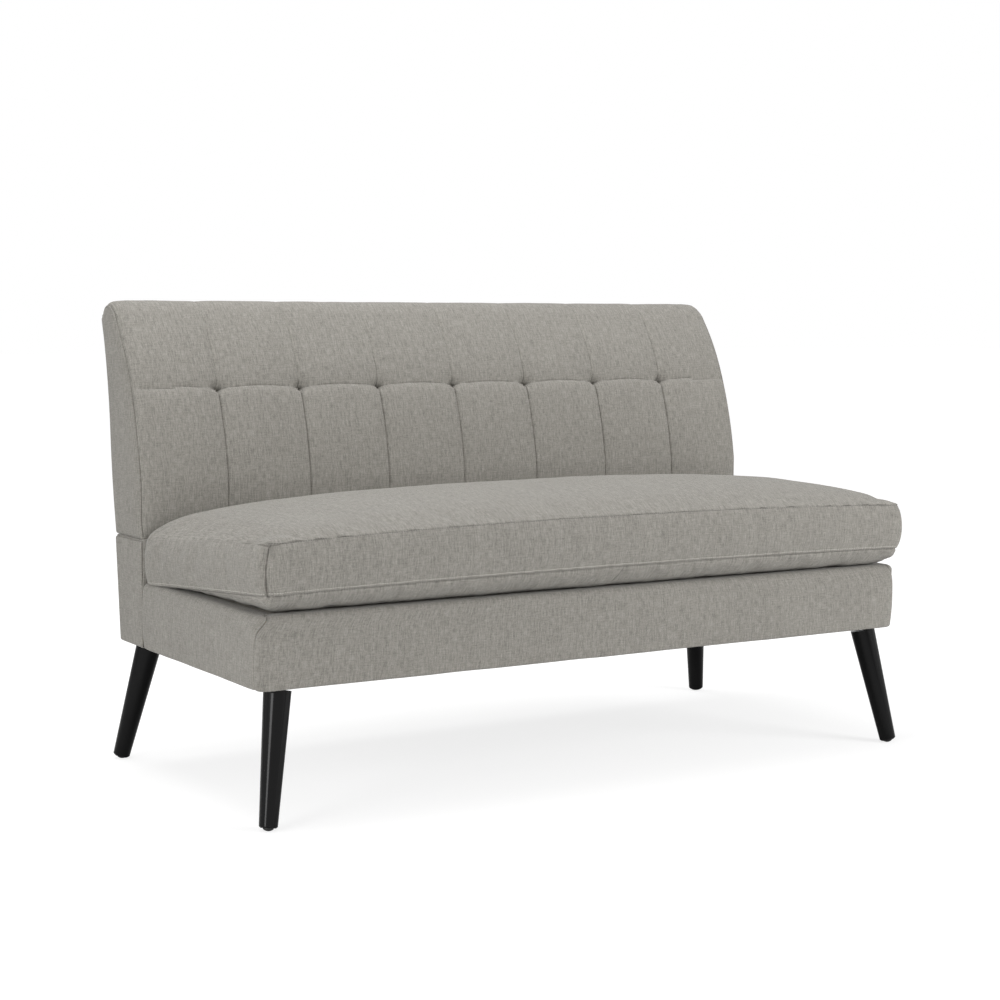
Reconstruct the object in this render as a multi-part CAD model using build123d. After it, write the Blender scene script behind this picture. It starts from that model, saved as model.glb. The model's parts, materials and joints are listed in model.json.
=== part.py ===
from build123d import *
from math import atan2, cos, degrees, radians, sqrt
import os

# Armless two-seat sofa. Millimetres, +Z up, x = 0 in the middle, seat facing -Y.
# The model is laid out with y = 0 on the base's front face and is moved at the end,
# so that its origin is the bottom centre of its bounding box.

# --- Base box and riser ---
base_width = 1370.0
base_depth = 608.0
base_bottom = 228.0
base_top = 352.0
riser_front = 492.0
riser_top = 427.0
rear_lean = 21.0
cover_thickness = 3.0
corner_radius = 14.0
edge_radius = 10.0
deck_border = 36.0
front_seam_setback = 14.0

# --- Base frame ---
seat_gap = 0.3
frame_inset = 8.0
frame_lift = 3.0
rail_thickness = 20.0
rail_top = 330.0
stretcher_width = 20.0
stretcher_height = 60.0
cleat_depth = 28.0
cleat_height = 30.0
corner_block_side = 100.0
corner_block_height = 45.0
riser_rail_foot = 300.0
riser_top_rail_height = 24.0

# --- Seat deck ---
spring_count = 9
spring_wire = 3.8
spring_loop_width = 44.0
spring_loop_count = 18
spring_end_inset = 10.0
clip_width = 16.0
clip_length = 14.0
clip_height = 6.0
clip_room = 1.0
spring_bend_share = 0.48
insulator_thickness = 3.0
deck_cloth_thickness = 1.5
dust_cover_thickness = 1.5

# --- Legs: where each axis meets the floor, and how far it leans per mm of height ---
front_foot_inset = 10.0
front_foot_y = -7.0
front_lean_in = 0.170
front_lean_back = 0.186
rear_foot_inset = 4.0
rear_foot_overhang = 17.0
rear_lean_in = 0.192
rear_lean_front = 0.199
leg_top_radius = 23.5
leg_bottom_radius = 15.5
leg_chamfer = 2.5
leg_top_rim_gap = 0.5
glide_radius = 9.0
glide_height = 5.0
glide_dome_radius = 13.0
glide_worn_flat = 0.4
plate_cut_margin = 1.0
plate_side = 46.0
plate_thickness = 2.5
boss_radius = 14.0
bolt_radius = 4.0
bolt_in_leg = 28.0
bolt_above_leg = 34.0
bolt_clearance = 0.05
bolt_hole_clearance = 1.0
plate_screw_spacing = 34.0
screw_radius = 2.0
screw_head_radius = 3.5
screw_head_height = 1.8
screw_length = 16.0
screw_clearance = 0.05

# --- Interlock brackets between riser and backrest ---
bracket_inset = 235.0
tongue_width = 40.0
tongue_thickness = 3.0
tongue_below = 75.0
tongue_above = 64.0
socket_clearance = 0.3
socket_wall = 1.5
socket_lip = 7.0
socket_ear = 16.0
socket_height = 46.0
slot_margin = 2.0
tongue_screw_spacing = 26.0

# --- Backrest: side outline ---
back_setback = 8.0
back_lumbar_height = 102.0
tuft_row_height = 270.0
tuft_row_setback = 43.0
back_top_height = 430.0
back_top_setback = 155.0
brow_drop = 29.0
brow_reach = 40.0
back_corner_radius = 32.0
back_heel_setback = 129.0
back_waist_height = 172.0
back_waist_setback = 152.0
back_heel_radius = 6.0
lumbar_bow = 5.0
brow_bow = 6.0
crest_bow = 5.0
nape_bow = -6.0
heel_bow = 3.0

# --- Backrest: tufted front cover ---
tuft_columns = 8
quilt_thickness = 8.0
tuft_depth = 11.0
seam_depth = 5.0
lower_row_crown = 8.0
lower_row_fade = 0.7
upper_row_crown = 4.0
upper_row_fade = 1.0
channel_depth = 1.5
least_bulge = 0.4
quilt_overlap = 1.5
stations_per_arc = 4

# --- Backrest: frame and filling ---
stile_thickness = 20.0
frame_front_setback = 45.0
frame_front_lean = 0.242
back_rail_thickness = 20.0
back_rail_width = 60.0
bottom_rail_setback = 62.0
bottom_rail_height = 60.0
bottom_rail_lift = 9.0
top_rail_drop = 12.0
back_stretcher_inset = 455.0
back_stretcher_width = 40.0
webbing_count = 3
webbing_width = 40.0
webbing_thickness = 1.5
twine_radius = 1.0
twine_clearance = 0.3
toggle_radius = 8.0
toggle_thickness = 3.0

# --- Seat cushion ---
cushion_play = 1.0
cushion_front = -24.0
cushion_rear_gap = 3.0
cushion_corner = 9.0
boxing_height = 88.0
boxing_bulge = 8.0
lower_seam_lift = 50.0
cushion_tilt = 0.078
crown_height = 46.0
crown_place = 0.62
crown_bow_share = 0.25
shoulder_run = 330.0
shoulder_rise = 4.0
shoulder_bow = 20.0
bottom_run_in = 70.0
bottom_run_out = 60.0
bottom_bulge = 14.0
bottom_sag = 2.0
seam_allowance = 2.0
cushion_join_x = 18.0
cushion_wrap = 16.0
zipper_inset = 234.0
zipper_width = 8.0

half_width = base_width / 2
frame_bottom = base_bottom + frame_lift
frame_half = half_width - frame_inset
rail_inner_x = frame_half - rail_thickness
rail_inner_y = frame_inset + rail_thickness
fit = cover_thickness + seat_gap
rear_rail_front = base_depth - fit - rail_thickness
back_bottom = riser_top + seat_gap
back_front = riser_front + back_setback
half_back = half_width
quilt_base = tuft_depth + quilt_thickness / 2
bracket_offset = half_width - bracket_inset
back_stretcher_offset = half_width - back_stretcher_inset
cushion_half = half_width - cushion_play
cushion_rear = riser_front - cushion_rear_gap
lower_seam_front = base_top + lower_seam_lift
far = 4 * base_width


def block(x0, x1, y0, y1, z0, z1):
    """A rectangular solid between two corners."""
    size = (x1 - x0, y1 - y0, z1 - z0)
    return Pos(x0, y0, z0) * Box(*size, align=(Align.MIN, Align.MIN, Align.MIN))


def both_sides(shape):
    """The shape and its mirror image across the middle of the sofa, as one group."""
    return Compound(solids_of(shape) + solids_of(mirror(shape, about=Plane.YZ)))


def solids_of(shape):
    return list(shape.solids())


def side_prism(face, x0, x1):
    """A face drawn in the YZ plane, made solid from x0 to x1."""
    return Pos(x0, 0, 0) * extrude(face, amount=x1 - x0, dir=(1, 0, 0))


def yz_polygon(*points):
    """A face in the YZ plane from (y, z) corners."""
    return Plane.YZ * Face(Wire(Polyline(*points, close=True).edges()))


def rod(start, direction, radius, length):
    """A round bar from a point along a direction."""
    place = Plane(origin=start, z_dir=direction)
    return place * Cylinder(radius, length, align=(Align.CENTER, Align.CENTER, Align.MIN))


# --- Covers of the base ---


def seat_box(inset):
    """The rounded box of the seat part of the base, drawn in by the inset, open rear and bottom."""
    body = block(
        inset - half_width, half_width - inset, inset, riser_front, base_bottom, base_top - inset
    )
    uprights = body.edges().filter_by(Axis.Z).group_by(Axis.Y)[0]
    body = fillet(uprights, corner_radius - inset)
    rim = body.faces().sort_by(Axis.Z)[-1].edges()
    rim = rim.filter_by(lambda edge: edge.center().Y < riser_front - inset)
    return fillet(rim, edge_radius - inset)


def rear_face_y(height):
    """Where the leaning rear face of the base stands at a height."""
    return base_depth + rear_lean * (height - base_bottom) / (riser_top - base_bottom)


def riser_box(inset):
    """The rounded box of the riser, from the base's bottom to its top, drawn in by the inset."""
    top = riser_top - inset
    outline = yz_polygon(
        (riser_front + inset, base_bottom),
        (rear_face_y(base_bottom) - inset, base_bottom),
        (rear_face_y(top) - inset, top),
        (riser_front + inset, top),
    )
    body = side_prism(outline, inset - half_width, half_width - inset)
    rim = body.faces().sort_by(Axis.Z)[-1].edges()
    rear = body.faces().sort_by(Axis.Y)[-1].edges().filter_by(lambda e: abs(e.center().X) > 1)
    return fillet(rim + rear, edge_radius - inset)


def tongue_slot(margin, z0, z1):
    """The room that both tongues need to pass between two heights."""
    y = tongue_plane
    half = tongue_width / 2 + margin
    slot = block(
        bracket_offset - half, bracket_offset + half, y - margin, y + tongue_thickness + margin, z0, z1
    )
    return both_sides(slot)


def seat_covers():
    """Front, left and right covers of the seat box, with a border round the deck."""
    deck_hole = block(
        deck_border - half_width, half_width - deck_border,
        deck_border, riser_front, base_top - 2 * cover_thickness, base_top,
    )
    shell = seat_box(0) - seat_box(cover_thickness) - deck_hole
    front_zone = block(-half_width, half_width, 0, front_seam_setback, base_bottom, base_top)
    front_zone += block(
        deck_border - half_width, half_width - deck_border, 0, deck_border, base_bottom, base_top
    )
    sides = shell - front_zone
    left = sides & block(-half_width, 0, 0, riser_front, base_bottom, base_top)
    return {
        "front_cover": shell & front_zone,
        "left_side_cover": left,
        "right_side_cover": mirror(left, about=Plane.YZ),
    }


def riser_covers():
    """Side, top and rear covers of the riser, split at the end of its rounded edges."""
    doorway = block(
        fit - half_width, half_width - fit,
        riser_front, riser_front + cover_thickness, base_bottom, base_top - cover_thickness,
    )
    slots = tongue_slot(slot_margin, riser_top - edge_radius, riser_top)
    shell = riser_box(0) - riser_box(cover_thickness) - doorway - slots
    rear_zone = side_prism(
        yz_polygon(
            (rear_face_y(base_bottom) - edge_radius, base_bottom),
            (rear_face_y(base_bottom) + rear_lean, base_bottom),
            (rear_face_y(riser_top) + rear_lean, riser_top),
            (rear_face_y(riser_top) - edge_radius, riser_top),
        ),
        -half_width, half_width,
    )
    inner_zone = block(
        edge_radius - half_width, half_width - edge_radius, riser_front, far, base_bottom, riser_top
    )
    rest = shell - rear_zone
    return {
        "riser_side_covers": rest - inner_zone,
        "riser_top_cover": rest & inner_zone,
        "rear_cover": shell & rear_zone,
    }


def dust_cover():
    """Black cloth under the frame, cut round the leg plates."""
    slab = block(
        -half_width, half_width, 0, base_depth + rear_lean,
        frame_bottom - dust_cover_thickness, frame_bottom,
    )
    cloth = (seat_box(fit) & slab) + (riser_box(fit) & slab) + block(
        fit - half_width, half_width - fit, riser_front - fit, riser_front + 2 * fit,
        frame_bottom - dust_cover_thickness, frame_bottom,
    )
    for leg in legs:
        x, y = leg.axis_at(frame_bottom)
        half = plate_side / 2 + plate_cut_margin
        cloth -= block(x - half, x + half, y - half, y + half, base_bottom, frame_bottom)
    return cloth


# --- Base frame ---


def countersunk(start, direction, clearance):
    """A countersunk screw, or its hole with a clearance, from a surface point inwards."""
    place = Plane(origin=start, z_dir=direction)
    upward = (Align.CENTER, Align.CENTER, Align.MIN)
    head = place * Cone(
        screw_head_radius + clearance, screw_radius + clearance, screw_head_height, align=upward
    )
    shank = place * Cylinder(screw_radius + clearance, screw_length + 2 * clearance, align=upward)
    return head + shank


def screws(places):
    return group([countersunk(start, direction, 0) for start, direction in places])


def screw_holes(places):
    return [countersunk(start, direction, screw_clearance) for start, direction in places]


def base_frame():
    """Rails, stretcher, cleat and corner blocks of the seat part."""
    rails = {
        "front_rail": block(
            -frame_half, frame_half, frame_inset, rail_inner_y, frame_bottom, rail_top
        ),
        "end_rails": both_sides(
            block(rail_inner_x, frame_half, rail_inner_y, riser_front + fit, frame_bottom, rail_top)
        ),
        "rear_rail": riser_box(fit) & block(
            -rail_inner_x, rail_inner_x, rear_rail_front, far, frame_bottom, rail_top
        ),
        "centre_stretcher": block(
            -stretcher_width / 2, stretcher_width / 2, rail_inner_y, rear_rail_front,
            frame_bottom, frame_bottom + stretcher_height,
        ),
        "spring_cleat": block(
            -rail_inner_x, rail_inner_x, riser_front + fit - cleat_depth, riser_front + fit,
            rail_top - cleat_height, rail_top,
        ),
    }
    front_block = block(
        rail_inner_x - corner_block_side, rail_inner_x, rail_inner_y,
        rail_inner_y + corner_block_side, frame_bottom, frame_bottom + corner_block_height,
    )
    rear_block = block(
        rail_inner_x - corner_block_side, rail_inner_x, rear_rail_front - corner_block_side,
        rear_rail_front, frame_bottom, frame_bottom + corner_block_height,
    )
    rails["corner_blocks"] = both_sides(Compound([front_block.solid(), rear_block.solid()]))
    holes = screw_holes(leg_plate_screws())
    holes += [leg.bolt_hole() for leg in legs]
    for name in ("front_rail", "rear_rail", "corner_blocks"):
        rails[name] = drilled(rails[name], holes)
    return rails


def drilled(shape, holes):
    """Every solid of a shape with the holes cut from it, kept as one group."""
    result = []
    for solid in solids_of(shape):
        cut = solid
        for hole in holes:
            if solid.bounding_box().overlaps(hole.bounding_box()):
                cut = cut - hole
        result += solids_of(cut)
    return Compound(result)


def riser_frame():
    """Posts and rails that raise the rear of the base and carry the backrest."""
    form = riser_box(fit)
    front = riser_front + fit
    top_rail_foot = riser_top - fit - riser_top_rail_height
    rear_face = tongue_plane + tongue_thickness + socket_clearance + socket_wall
    posts = form & block(rail_inner_x, half_width, front, far, frame_bottom, riser_top)
    slots = tongue_slot(slot_margin, top_rail_foot, riser_top)
    frame = {
        "riser_posts": both_sides(posts),
        "riser_front_rail": form & block(
            -rail_inner_x, rail_inner_x, front, front + rail_thickness, riser_rail_foot, top_rail_foot
        ),
        "riser_rear_rail": form & block(
            -rail_inner_x, rail_inner_x, rear_face, far, rail_top, top_rail_foot
        ),
        "riser_top_rail": (
            form & block(-rail_inner_x, rail_inner_x, front, far, top_rail_foot, riser_top)
        ) - slots,
    }
    frame["riser_rear_rail"] = drilled(frame["riser_rear_rail"], screw_holes(socket_screws()))
    return frame


# --- Padding and seat deck ---


def paddings():
    """Foam over the front rail and over the end rails, under the covers."""
    form = seat_box(fit) & block(-half_width, half_width, 0, riser_front, frame_bottom, base_top)
    rails = block(-frame_half, frame_half, frame_inset, riser_front, frame_bottom, rail_top)
    clips = block(
        deck_border - half_width, half_width - deck_border, frame_inset + clip_room, riser_front,
        rail_top, rail_top + clip_height + clip_room,
    )
    middle = block(
        deck_border - half_width, half_width - deck_border, deck_border, riser_front,
        frame_bottom, base_top,
    )
    foam = form - rails - clips - middle
    front_zone = block(-half_width, half_width, 0, deck_border, frame_bottom, base_top)
    return {"front_padding": foam & front_zone, "side_paddings": foam - front_zone}


def sinuous_spring():
    """One zigzag spring of round wire from the front rail to the cleat, lying flat."""
    start = rail_inner_y - spring_end_inset
    end = riser_front + fit - cleat_depth + spring_end_inset
    pitch = (end - start) / spring_loop_count
    half = spring_loop_width / 2
    points = [(-half / 2, start)]
    for turn in range(spring_loop_count):
        side = half if turn % 2 == 0 else -half
        points += [(side, start + turn * pitch), (side, start + (turn + 1) * pitch)]
    points.append((-points[-1][0] / 2, end))
    wire = FilletPolyline(*points, radius=spring_bend_share * pitch)
    path = Pos(0, 0, rail_top + seat_gap + spring_wire / 2) * wire
    section = Plane(origin=path @ 0, z_dir=path % 0) * Circle(spring_wire / 2)
    return sweep(section, path=path)


def spring_places():
    span = 2 * (half_width - deck_border) / spring_count
    return [(index - (spring_count - 1) / 2) * span for index in range(spring_count)]


def spring_clip(x, y, end):
    """A bent clip that holds a spring's end on its rail, with room for the wire."""
    room = spring_wire + 2 * seat_gap
    body = block(
        x - clip_width / 2, x + clip_width / 2, y - clip_length / 2, y + clip_length / 2,
        rail_top, rail_top + clip_height,
    )
    tunnel = block(x - far, x + far, end - room / 2, end + room / 2, rail_top, rail_top + room)
    return body - tunnel


def seat_support():
    """Springs, clips, felt, foam and cloth of the seat deck."""
    spring = sinuous_spring()
    front_end = rail_inner_y - spring_end_inset
    rear_end = riser_front + fit - cleat_depth + spring_end_inset
    springs = [Pos(x, 0, 0) * spring for x in spring_places()]
    clips = []
    for x in spring_places():
        for end in (front_end, rear_end):
            clips.append(spring_clip(x, end, end))
    half = half_width - deck_border
    felt_bottom = rail_top + clip_height
    felt_top = felt_bottom + insulator_thickness
    cloth_bottom = base_top - deck_cloth_thickness
    return {
        "seat_springs": group(springs),
        "spring_clips": group(clips),
        "spring_insulator": block(-half, half, deck_border, riser_front, felt_bottom, felt_top),
        "deck_foam": block(-half, half, deck_border, riser_front, felt_top, cloth_bottom),
        "deck_cloth": block(-half, half, deck_border, riser_front, cloth_bottom, base_top),
    }


def group(shapes):
    """Separate solids kept side by side in one group."""
    return Compound([solid for shape in shapes for solid in solids_of(shape)])


# --- Legs ---


class Leg:
    """A splayed leg, known by where its axis meets the floor and how it leans."""

    def __init__(self, name, foot_x, foot_y, lean_x, lean_y):
        self.name = name
        self.foot = Vector(foot_x, foot_y, 0)
        self.lean = Vector(lean_x, lean_y, 1)
        self.up = self.lean.normalized()
        self.sine = sqrt(1 - self.up.Z**2)
        dome_centre_z = glide_dome_radius - glide_worn_flat
        self.dome_centre = self.foot + self.lean * dome_centre_z
        self.bottom = self.dome_centre - self.up * (glide_dome_radius - glide_height)
        top_z = frame_bottom - plate_thickness - leg_top_rim_gap - leg_top_radius * self.sine
        self.top = self.foot + self.lean * top_z

    def axis_at(self, height):
        """Where the leg's axis stands at a height, as x and y."""
        point = self.foot + self.lean * height
        return point.X, point.Y

    def wood(self):
        length = (self.top - self.bottom).length
        place = Plane(origin=self.bottom, z_dir=self.up)
        body = place * Cone(
            leg_bottom_radius, leg_top_radius, length, align=(Align.CENTER, Align.CENTER, Align.MIN)
        )
        rims = body.edges().filter_by(GeomType.CIRCLE).sort_by(Axis.Z)
        body = chamfer(rims[0], leg_chamfer)
        return body - rod(self.top - self.up * bolt_in_leg, self.up, bolt_radius, bolt_in_leg)

    def bolt(self):
        start = self.top - self.up * bolt_in_leg
        return rod(start, self.up, bolt_radius, bolt_in_leg + bolt_above_leg)

    def bolt_hole(self):
        length = bolt_above_leg + 2 * bolt_hole_clearance
        return rod(self.top, self.up, bolt_radius + bolt_hole_clearance, length)

    def glide(self):
        """A domed nail-on glide, worn flat where it meets the floor."""
        place = Plane(origin=self.bottom - self.up * glide_height, z_dir=self.up)
        disc = place * Cylinder(
            glide_radius, glide_height, align=(Align.CENTER, Align.CENTER, Align.MIN)
        )
        dome = Pos(*self.dome_centre) * Sphere(glide_dome_radius)
        floor = block(-far, far, -far, far, 0, far)
        return disc & dome & floor

    def plate(self):
        """A flat plate under the frame with a boss square to the leg, threaded for its bolt."""
        x, y = self.axis_at(frame_bottom)
        half = plate_side / 2
        flat = block(x - half, x + half, y - half, y + half, frame_bottom - plate_thickness, frame_bottom)
        boss = rod(self.top + self.up * seat_gap, self.up, boss_radius, 2 * boss_radius)
        below = block(-far, far, -far, far, 0, frame_bottom)
        thread = rod(self.top, self.up, bolt_radius + bolt_clearance, far)
        return drilled(flat + (boss & below) - thread, screw_holes(self.plate_screws()))

    def plate_screws(self):
        x, y = self.axis_at(frame_bottom)
        half = plate_screw_spacing / 2
        z = frame_bottom - plate_thickness
        return [((x + i * half, y + j * half, z), (0, 0, 1)) for i in (-1, 1) for j in (-1, 1)]


front_foot_x = half_width - front_foot_inset
rear_foot_x = half_width - rear_foot_inset
rear_foot_y = base_depth + rear_foot_overhang
legs = [
    Leg("front_left", -front_foot_x, front_foot_y, front_lean_in, front_lean_back),
    Leg("front_right", front_foot_x, front_foot_y, -front_lean_in, front_lean_back),
    Leg("rear_left", -rear_foot_x, rear_foot_y, rear_lean_in, -rear_lean_front),
    Leg("rear_right", rear_foot_x, rear_foot_y, -rear_lean_in, -rear_lean_front),
]


def leg_plate_screws():
    return [place for leg in legs for place in leg.plate_screws()]


def leg_pieces():
    pieces = {
        "leg_plates": group([leg.plate() for leg in legs]),
        "leg_plate_screws": screws(leg_plate_screws()),
    }
    for leg in legs:
        pieces[leg.name + "_leg"] = leg.wood()
        pieces[leg.name + "_hanger_bolt"] = leg.bolt()
        pieces[leg.name + "_glide"] = leg.glide()
    return pieces


# --- Interlock brackets ---

tongue_plane = back_front + bottom_rail_setback + back_rail_thickness
tongue_foot = back_bottom - tongue_below
socket_top = riser_top - fit - riser_top_rail_height
socket_screw_x = (bracket_offset - tongue_width / 2 - socket_ear / 2 - socket_wall,
                  bracket_offset + tongue_width / 2 + socket_ear / 2 + socket_wall)


def tongue_screws():
    """Two screws through each tongue into the backrest's bottom rail."""
    z = back_bottom + bottom_rail_lift + bottom_rail_height / 2
    y = tongue_plane + tongue_thickness
    return [
        ((side * bracket_offset, y, z + step), (0, -1, 0))
        for side in (-1, 1)
        for step in (-tongue_screw_spacing / 2, tongue_screw_spacing / 2)
    ]


def socket_screws():
    """Two screws through the ears of each socket into the riser's rear rail."""
    y = tongue_plane + tongue_thickness + socket_clearance
    z = socket_top - socket_height / 2
    return [((side * x, y, z), (0, 1, 0)) for side in (-1, 1) for x in socket_screw_x]


def tongues():
    half = tongue_width / 2
    plate = block(
        bracket_offset - half, bracket_offset + half, tongue_plane, tongue_plane + tongue_thickness,
        tongue_foot, back_bottom + tongue_above,
    )
    return drilled(both_sides(plate), screw_holes(tongue_screws()))


def sockets():
    """A folded channel that takes the tongue, with an ear each side for its screws."""
    gap = socket_clearance
    half = tongue_width / 2 + gap
    z0 = socket_top - socket_height
    back = tongue_plane + tongue_thickness + gap
    front = tongue_plane - gap
    x = bracket_offset
    ear = half + socket_wall + socket_ear
    body = block(x - ear, x + ear, back, back + socket_wall, z0, socket_top)
    body += block(
        x - half - socket_wall, x + half + socket_wall, front - socket_wall, back, z0, socket_top
    )
    body -= block(x - half, x + half, front, back, z0, socket_top)
    body -= block(x - half + socket_lip, x + half - socket_lip, front - socket_wall, front, z0, socket_top)
    return drilled(both_sides(body), screw_holes(socket_screws()))


def bracket_pieces():
    return {
        "interlock_tongues": tongues(),
        "interlock_sockets": sockets(),
        "tongue_screws": screws(tongue_screws()),
        "socket_screws": screws(socket_screws()),
    }


# --- Backrest ---

heel_front = (back_front, back_bottom)
lumbar = (back_front, back_bottom + back_lumbar_height)
tuft_point = (back_front + tuft_row_setback, back_bottom + tuft_row_height)
crest = (back_front + back_top_setback, back_bottom + back_top_height)
brow = (crest[0] - brow_reach, crest[1] - brow_drop)
nape = (crest[0] + back_corner_radius, crest[1] - back_corner_radius)
waist = (back_front + back_waist_setback, back_bottom + back_waist_height)
heel_rear = (back_front + back_heel_setback, back_bottom)


def bowed(start, end, bow):
    """An arc between two points that bows to the left of the way from start to end."""
    middle_y = (start[0] + end[0]) / 2
    middle_z = (start[1] + end[1]) / 2
    span_y = end[0] - start[0]
    span_z = end[1] - start[1]
    length = sqrt(span_y**2 + span_z**2)
    middle = (middle_y - bow * span_z / length, middle_z + bow * span_y / length)
    return ThreePointArc(start, middle, end)


def lower_front_edges():
    return [Line(heel_front, lumbar), bowed(lumbar, tuft_point, lumbar_bow)]


def upper_front_edges():
    quarter = back_corner_radius / sqrt(2)
    corner = ThreePointArc(
        crest,
        (crest[0] + quarter, crest[1] - back_corner_radius + quarter),
        nape,
    )
    return [bowed(tuft_point, brow, brow_bow), bowed(brow, crest, crest_bow), corner]


def rear_edges():
    return [
        bowed(nape, waist, nape_bow),
        bowed(waist, heel_rear, heel_bow),
        Line(heel_rear, heel_front),
    ]


def back_outline(inset):
    """The backrest's side outline as a face in the YZ plane, drawn in by the inset."""
    edges = lower_front_edges() + upper_front_edges() + rear_edges()
    face = Face(Wire(edges))
    heels = face.vertices().group_by(Axis.Y)[0]
    face = fillet(heels, back_heel_radius)
    if inset:
        face = offset(face, amount=-inset, kind=Kind.INTERSECTION)
    return Plane.YZ * face


def swell(row_crown, rise, fade):
    """How far a panel stands proud at its middle, at a share of the way from the tuft row."""
    bump = (1 - (1 - rise) ** 4) * (1 - fade * rise**3)
    return row_crown * bump - seam_depth * (1 - rise) ** 6


def pull(rise):
    """How deep the channel between two panels lies, at a share of the way from the tuft row."""
    return channel_depth * (1 - rise**4) + (tuft_depth - channel_depth) * (1 - rise) ** 3


def quilt_section(point, tangent, crown, depth):
    """One cross-section of a row: a flat back and an arc for each column, square to the outline."""
    outward = Vector(0, -tangent.Z, tangent.Y)
    half = half_back - fit
    pitch = 2 * half / tuft_columns

    def place(x, proud):
        return Vector(x, point.Y, point.Z) + outward * proud

    edges = []
    for column in range(tuft_columns):
        x0 = column * pitch - half
        x1 = x0 + pitch
        proud0 = 0 if column == 0 else -depth
        proud1 = 0 if column == tuft_columns - 1 else -depth
        edges.append(
            ThreePointArc(place(x0, proud0), place((x0 + x1) / 2, crown), place(x1, proud1))
        )
    back = -quilt_overlap * quilt_base
    edges.append(Line(place(half, 0), place(half, back)))
    edges.append(Line(place(half, back), place(-half, back)))
    edges.append(Line(place(-half, back), place(-half, 0)))
    return Wire(edges)


def outline_stations(edges):
    """Points and directions along a stretch of the outline; a joint takes its mean direction."""
    stations = []
    for edge in edges:
        for step in range(stations_per_arc + 1):
            share = step / stations_per_arc
            point = edge @ share
            direction = (edge % share).normalized()
            if step == 0 and stations:
                direction = (direction + stations.pop()[1]).normalized()
            stations.append((point, direction))
    return [(Vector(0, p.X, p.Y), Vector(0, d.X, d.Y)) for p, d in stations]


def quilt_row(edges, row_crown, fade, from_tufts):
    """One row of padded panels, lofted along its stretch of the side outline."""
    stations = outline_stations(edges)
    joint = outline_stations(lower_front_edges() + upper_front_edges())[2 * stations_per_arc]
    stations[0 if from_tufts else -1] = joint
    sections = []
    for index, (point, direction) in enumerate(stations):
        share = index / (len(stations) - 1)
        rise = share if from_tufts else 1 - share
        crown = max(swell(row_crown, rise, fade), least_bulge - pull(rise))
        sections.append(quilt_section(point, direction, crown, pull(rise)))
    return Solid.make_loft(sections)


def tufted_cover():
    """The front cover of the backrest: two rows of panels, sewn together along the tufts."""
    lower = quilt_row(lower_front_edges(), lower_row_crown, lower_row_fade, False)
    upper = quilt_row(upper_front_edges(), upper_row_crown, upper_row_fade, True)
    core = side_prism(back_outline(quilt_base), -half_back, half_back)
    heel = block(
        -half_back, half_back, back_front + quilt_base, far, 0, back_bottom + back_lumbar_height
    )
    return group([lower - core - heel, upper - core])


frame_slope = degrees(atan2(frame_front_lean, 1))
frame_plane = Plane(
    origin=(0, back_front + frame_front_setback, back_bottom),
    x_dir=(1, 0, 0),
    z_dir=(0, 1, -frame_front_lean),
)
back_inner_x = half_back - fit
stile_inner_x = back_inner_x - stile_thickness
frame_top = nape[1] - seat_gap
frame_foot = back_bottom + fit
rail_head = frame_foot + bottom_rail_lift + bottom_rail_height


def on_frame(x0, x1, low, high, front, rear):
    """A block in the frame's leaning plane: low and high run up it, front and rear go through it."""
    return frame_plane * block(x0, x1, -high, -low, front, rear)


def climb(height):
    """How far up the leaning plane a height above the floor lies."""
    return (height - back_bottom) / cos(radians(frame_slope))


tufts_on_frame = frame_plane.to_local_coords(Vector(0, tuft_point[0], tuft_point[1]))
mid_rail_climb = -tufts_on_frame.Y
top_rail_climb = climb(frame_top) - top_rail_drop - back_rail_width / 2


def tuft_places():
    """Where the tufts lie across the backrest: at each seam between two columns."""
    pitch = 2 * (half_back - fit) / tuft_columns
    return [(index - tuft_columns / 2) * pitch for index in range(1, tuft_columns)]


def behind_frame_line(shift):
    """All the room behind the frame's leaning front, under its top."""
    return on_frame(-far, far, -far, far, shift, far) & block(-far, far, -far, far, 0, frame_top)


def twine_holes():
    start = tufts_on_frame.Z
    return [
        frame_plane * Pos(x, tufts_on_frame.Y, start) * Cylinder(
            twine_radius + twine_clearance, far, align=(Align.CENTER, Align.CENTER, Align.MIN)
        )
        for x in tuft_places()
    ]


def back_frame():
    """Stiles, rails, stretchers and webbing of the backrest."""
    form = side_prism(back_outline(fit), -half_back, half_back) & behind_frame_line(0)
    stile = form & block(stile_inner_x, back_inner_x, 0, far, 0, far)
    half_rail = back_rail_width / 2
    mid_rail = on_frame(
        -stile_inner_x, stile_inner_x, mid_rail_climb - half_rail, mid_rail_climb + half_rail,
        0, back_rail_thickness,
    )
    top_rail = on_frame(
        -stile_inner_x, stile_inner_x, top_rail_climb - half_rail, top_rail_climb + half_rail,
        0, back_rail_thickness,
    )
    bottom_rail = block(
        -stile_inner_x, stile_inner_x, tongue_plane - back_rail_thickness, tongue_plane,
        frame_foot + bottom_rail_lift, rail_head,
    )
    return {
        "back_stiles": both_sides(stile),
        "back_mid_rail": drilled(mid_rail, twine_holes()),
        "back_top_rail": top_rail,
        "back_bottom_rail": drilled(bottom_rail, screw_holes(tongue_screws())),
        "back_stretchers": back_stretchers(),
        "back_webbing": back_webbing(),
    }


def back_stretchers():
    """Two uprights between the rails, each in a lower and an upper length."""
    left = back_stretcher_offset - back_stretcher_width / 2
    right = left + back_stretcher_width
    half_rail = back_rail_width / 2
    lower = on_frame(left, right, 0, mid_rail_climb - half_rail, 0, back_rail_thickness)
    lower = lower & block(-far, far, 0, far, rail_head, far)
    upper = on_frame(
        left, right, mid_rail_climb + half_rail, top_rail_climb - half_rail, 0, back_rail_thickness
    )
    return both_sides(group([lower, upper]))


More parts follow.
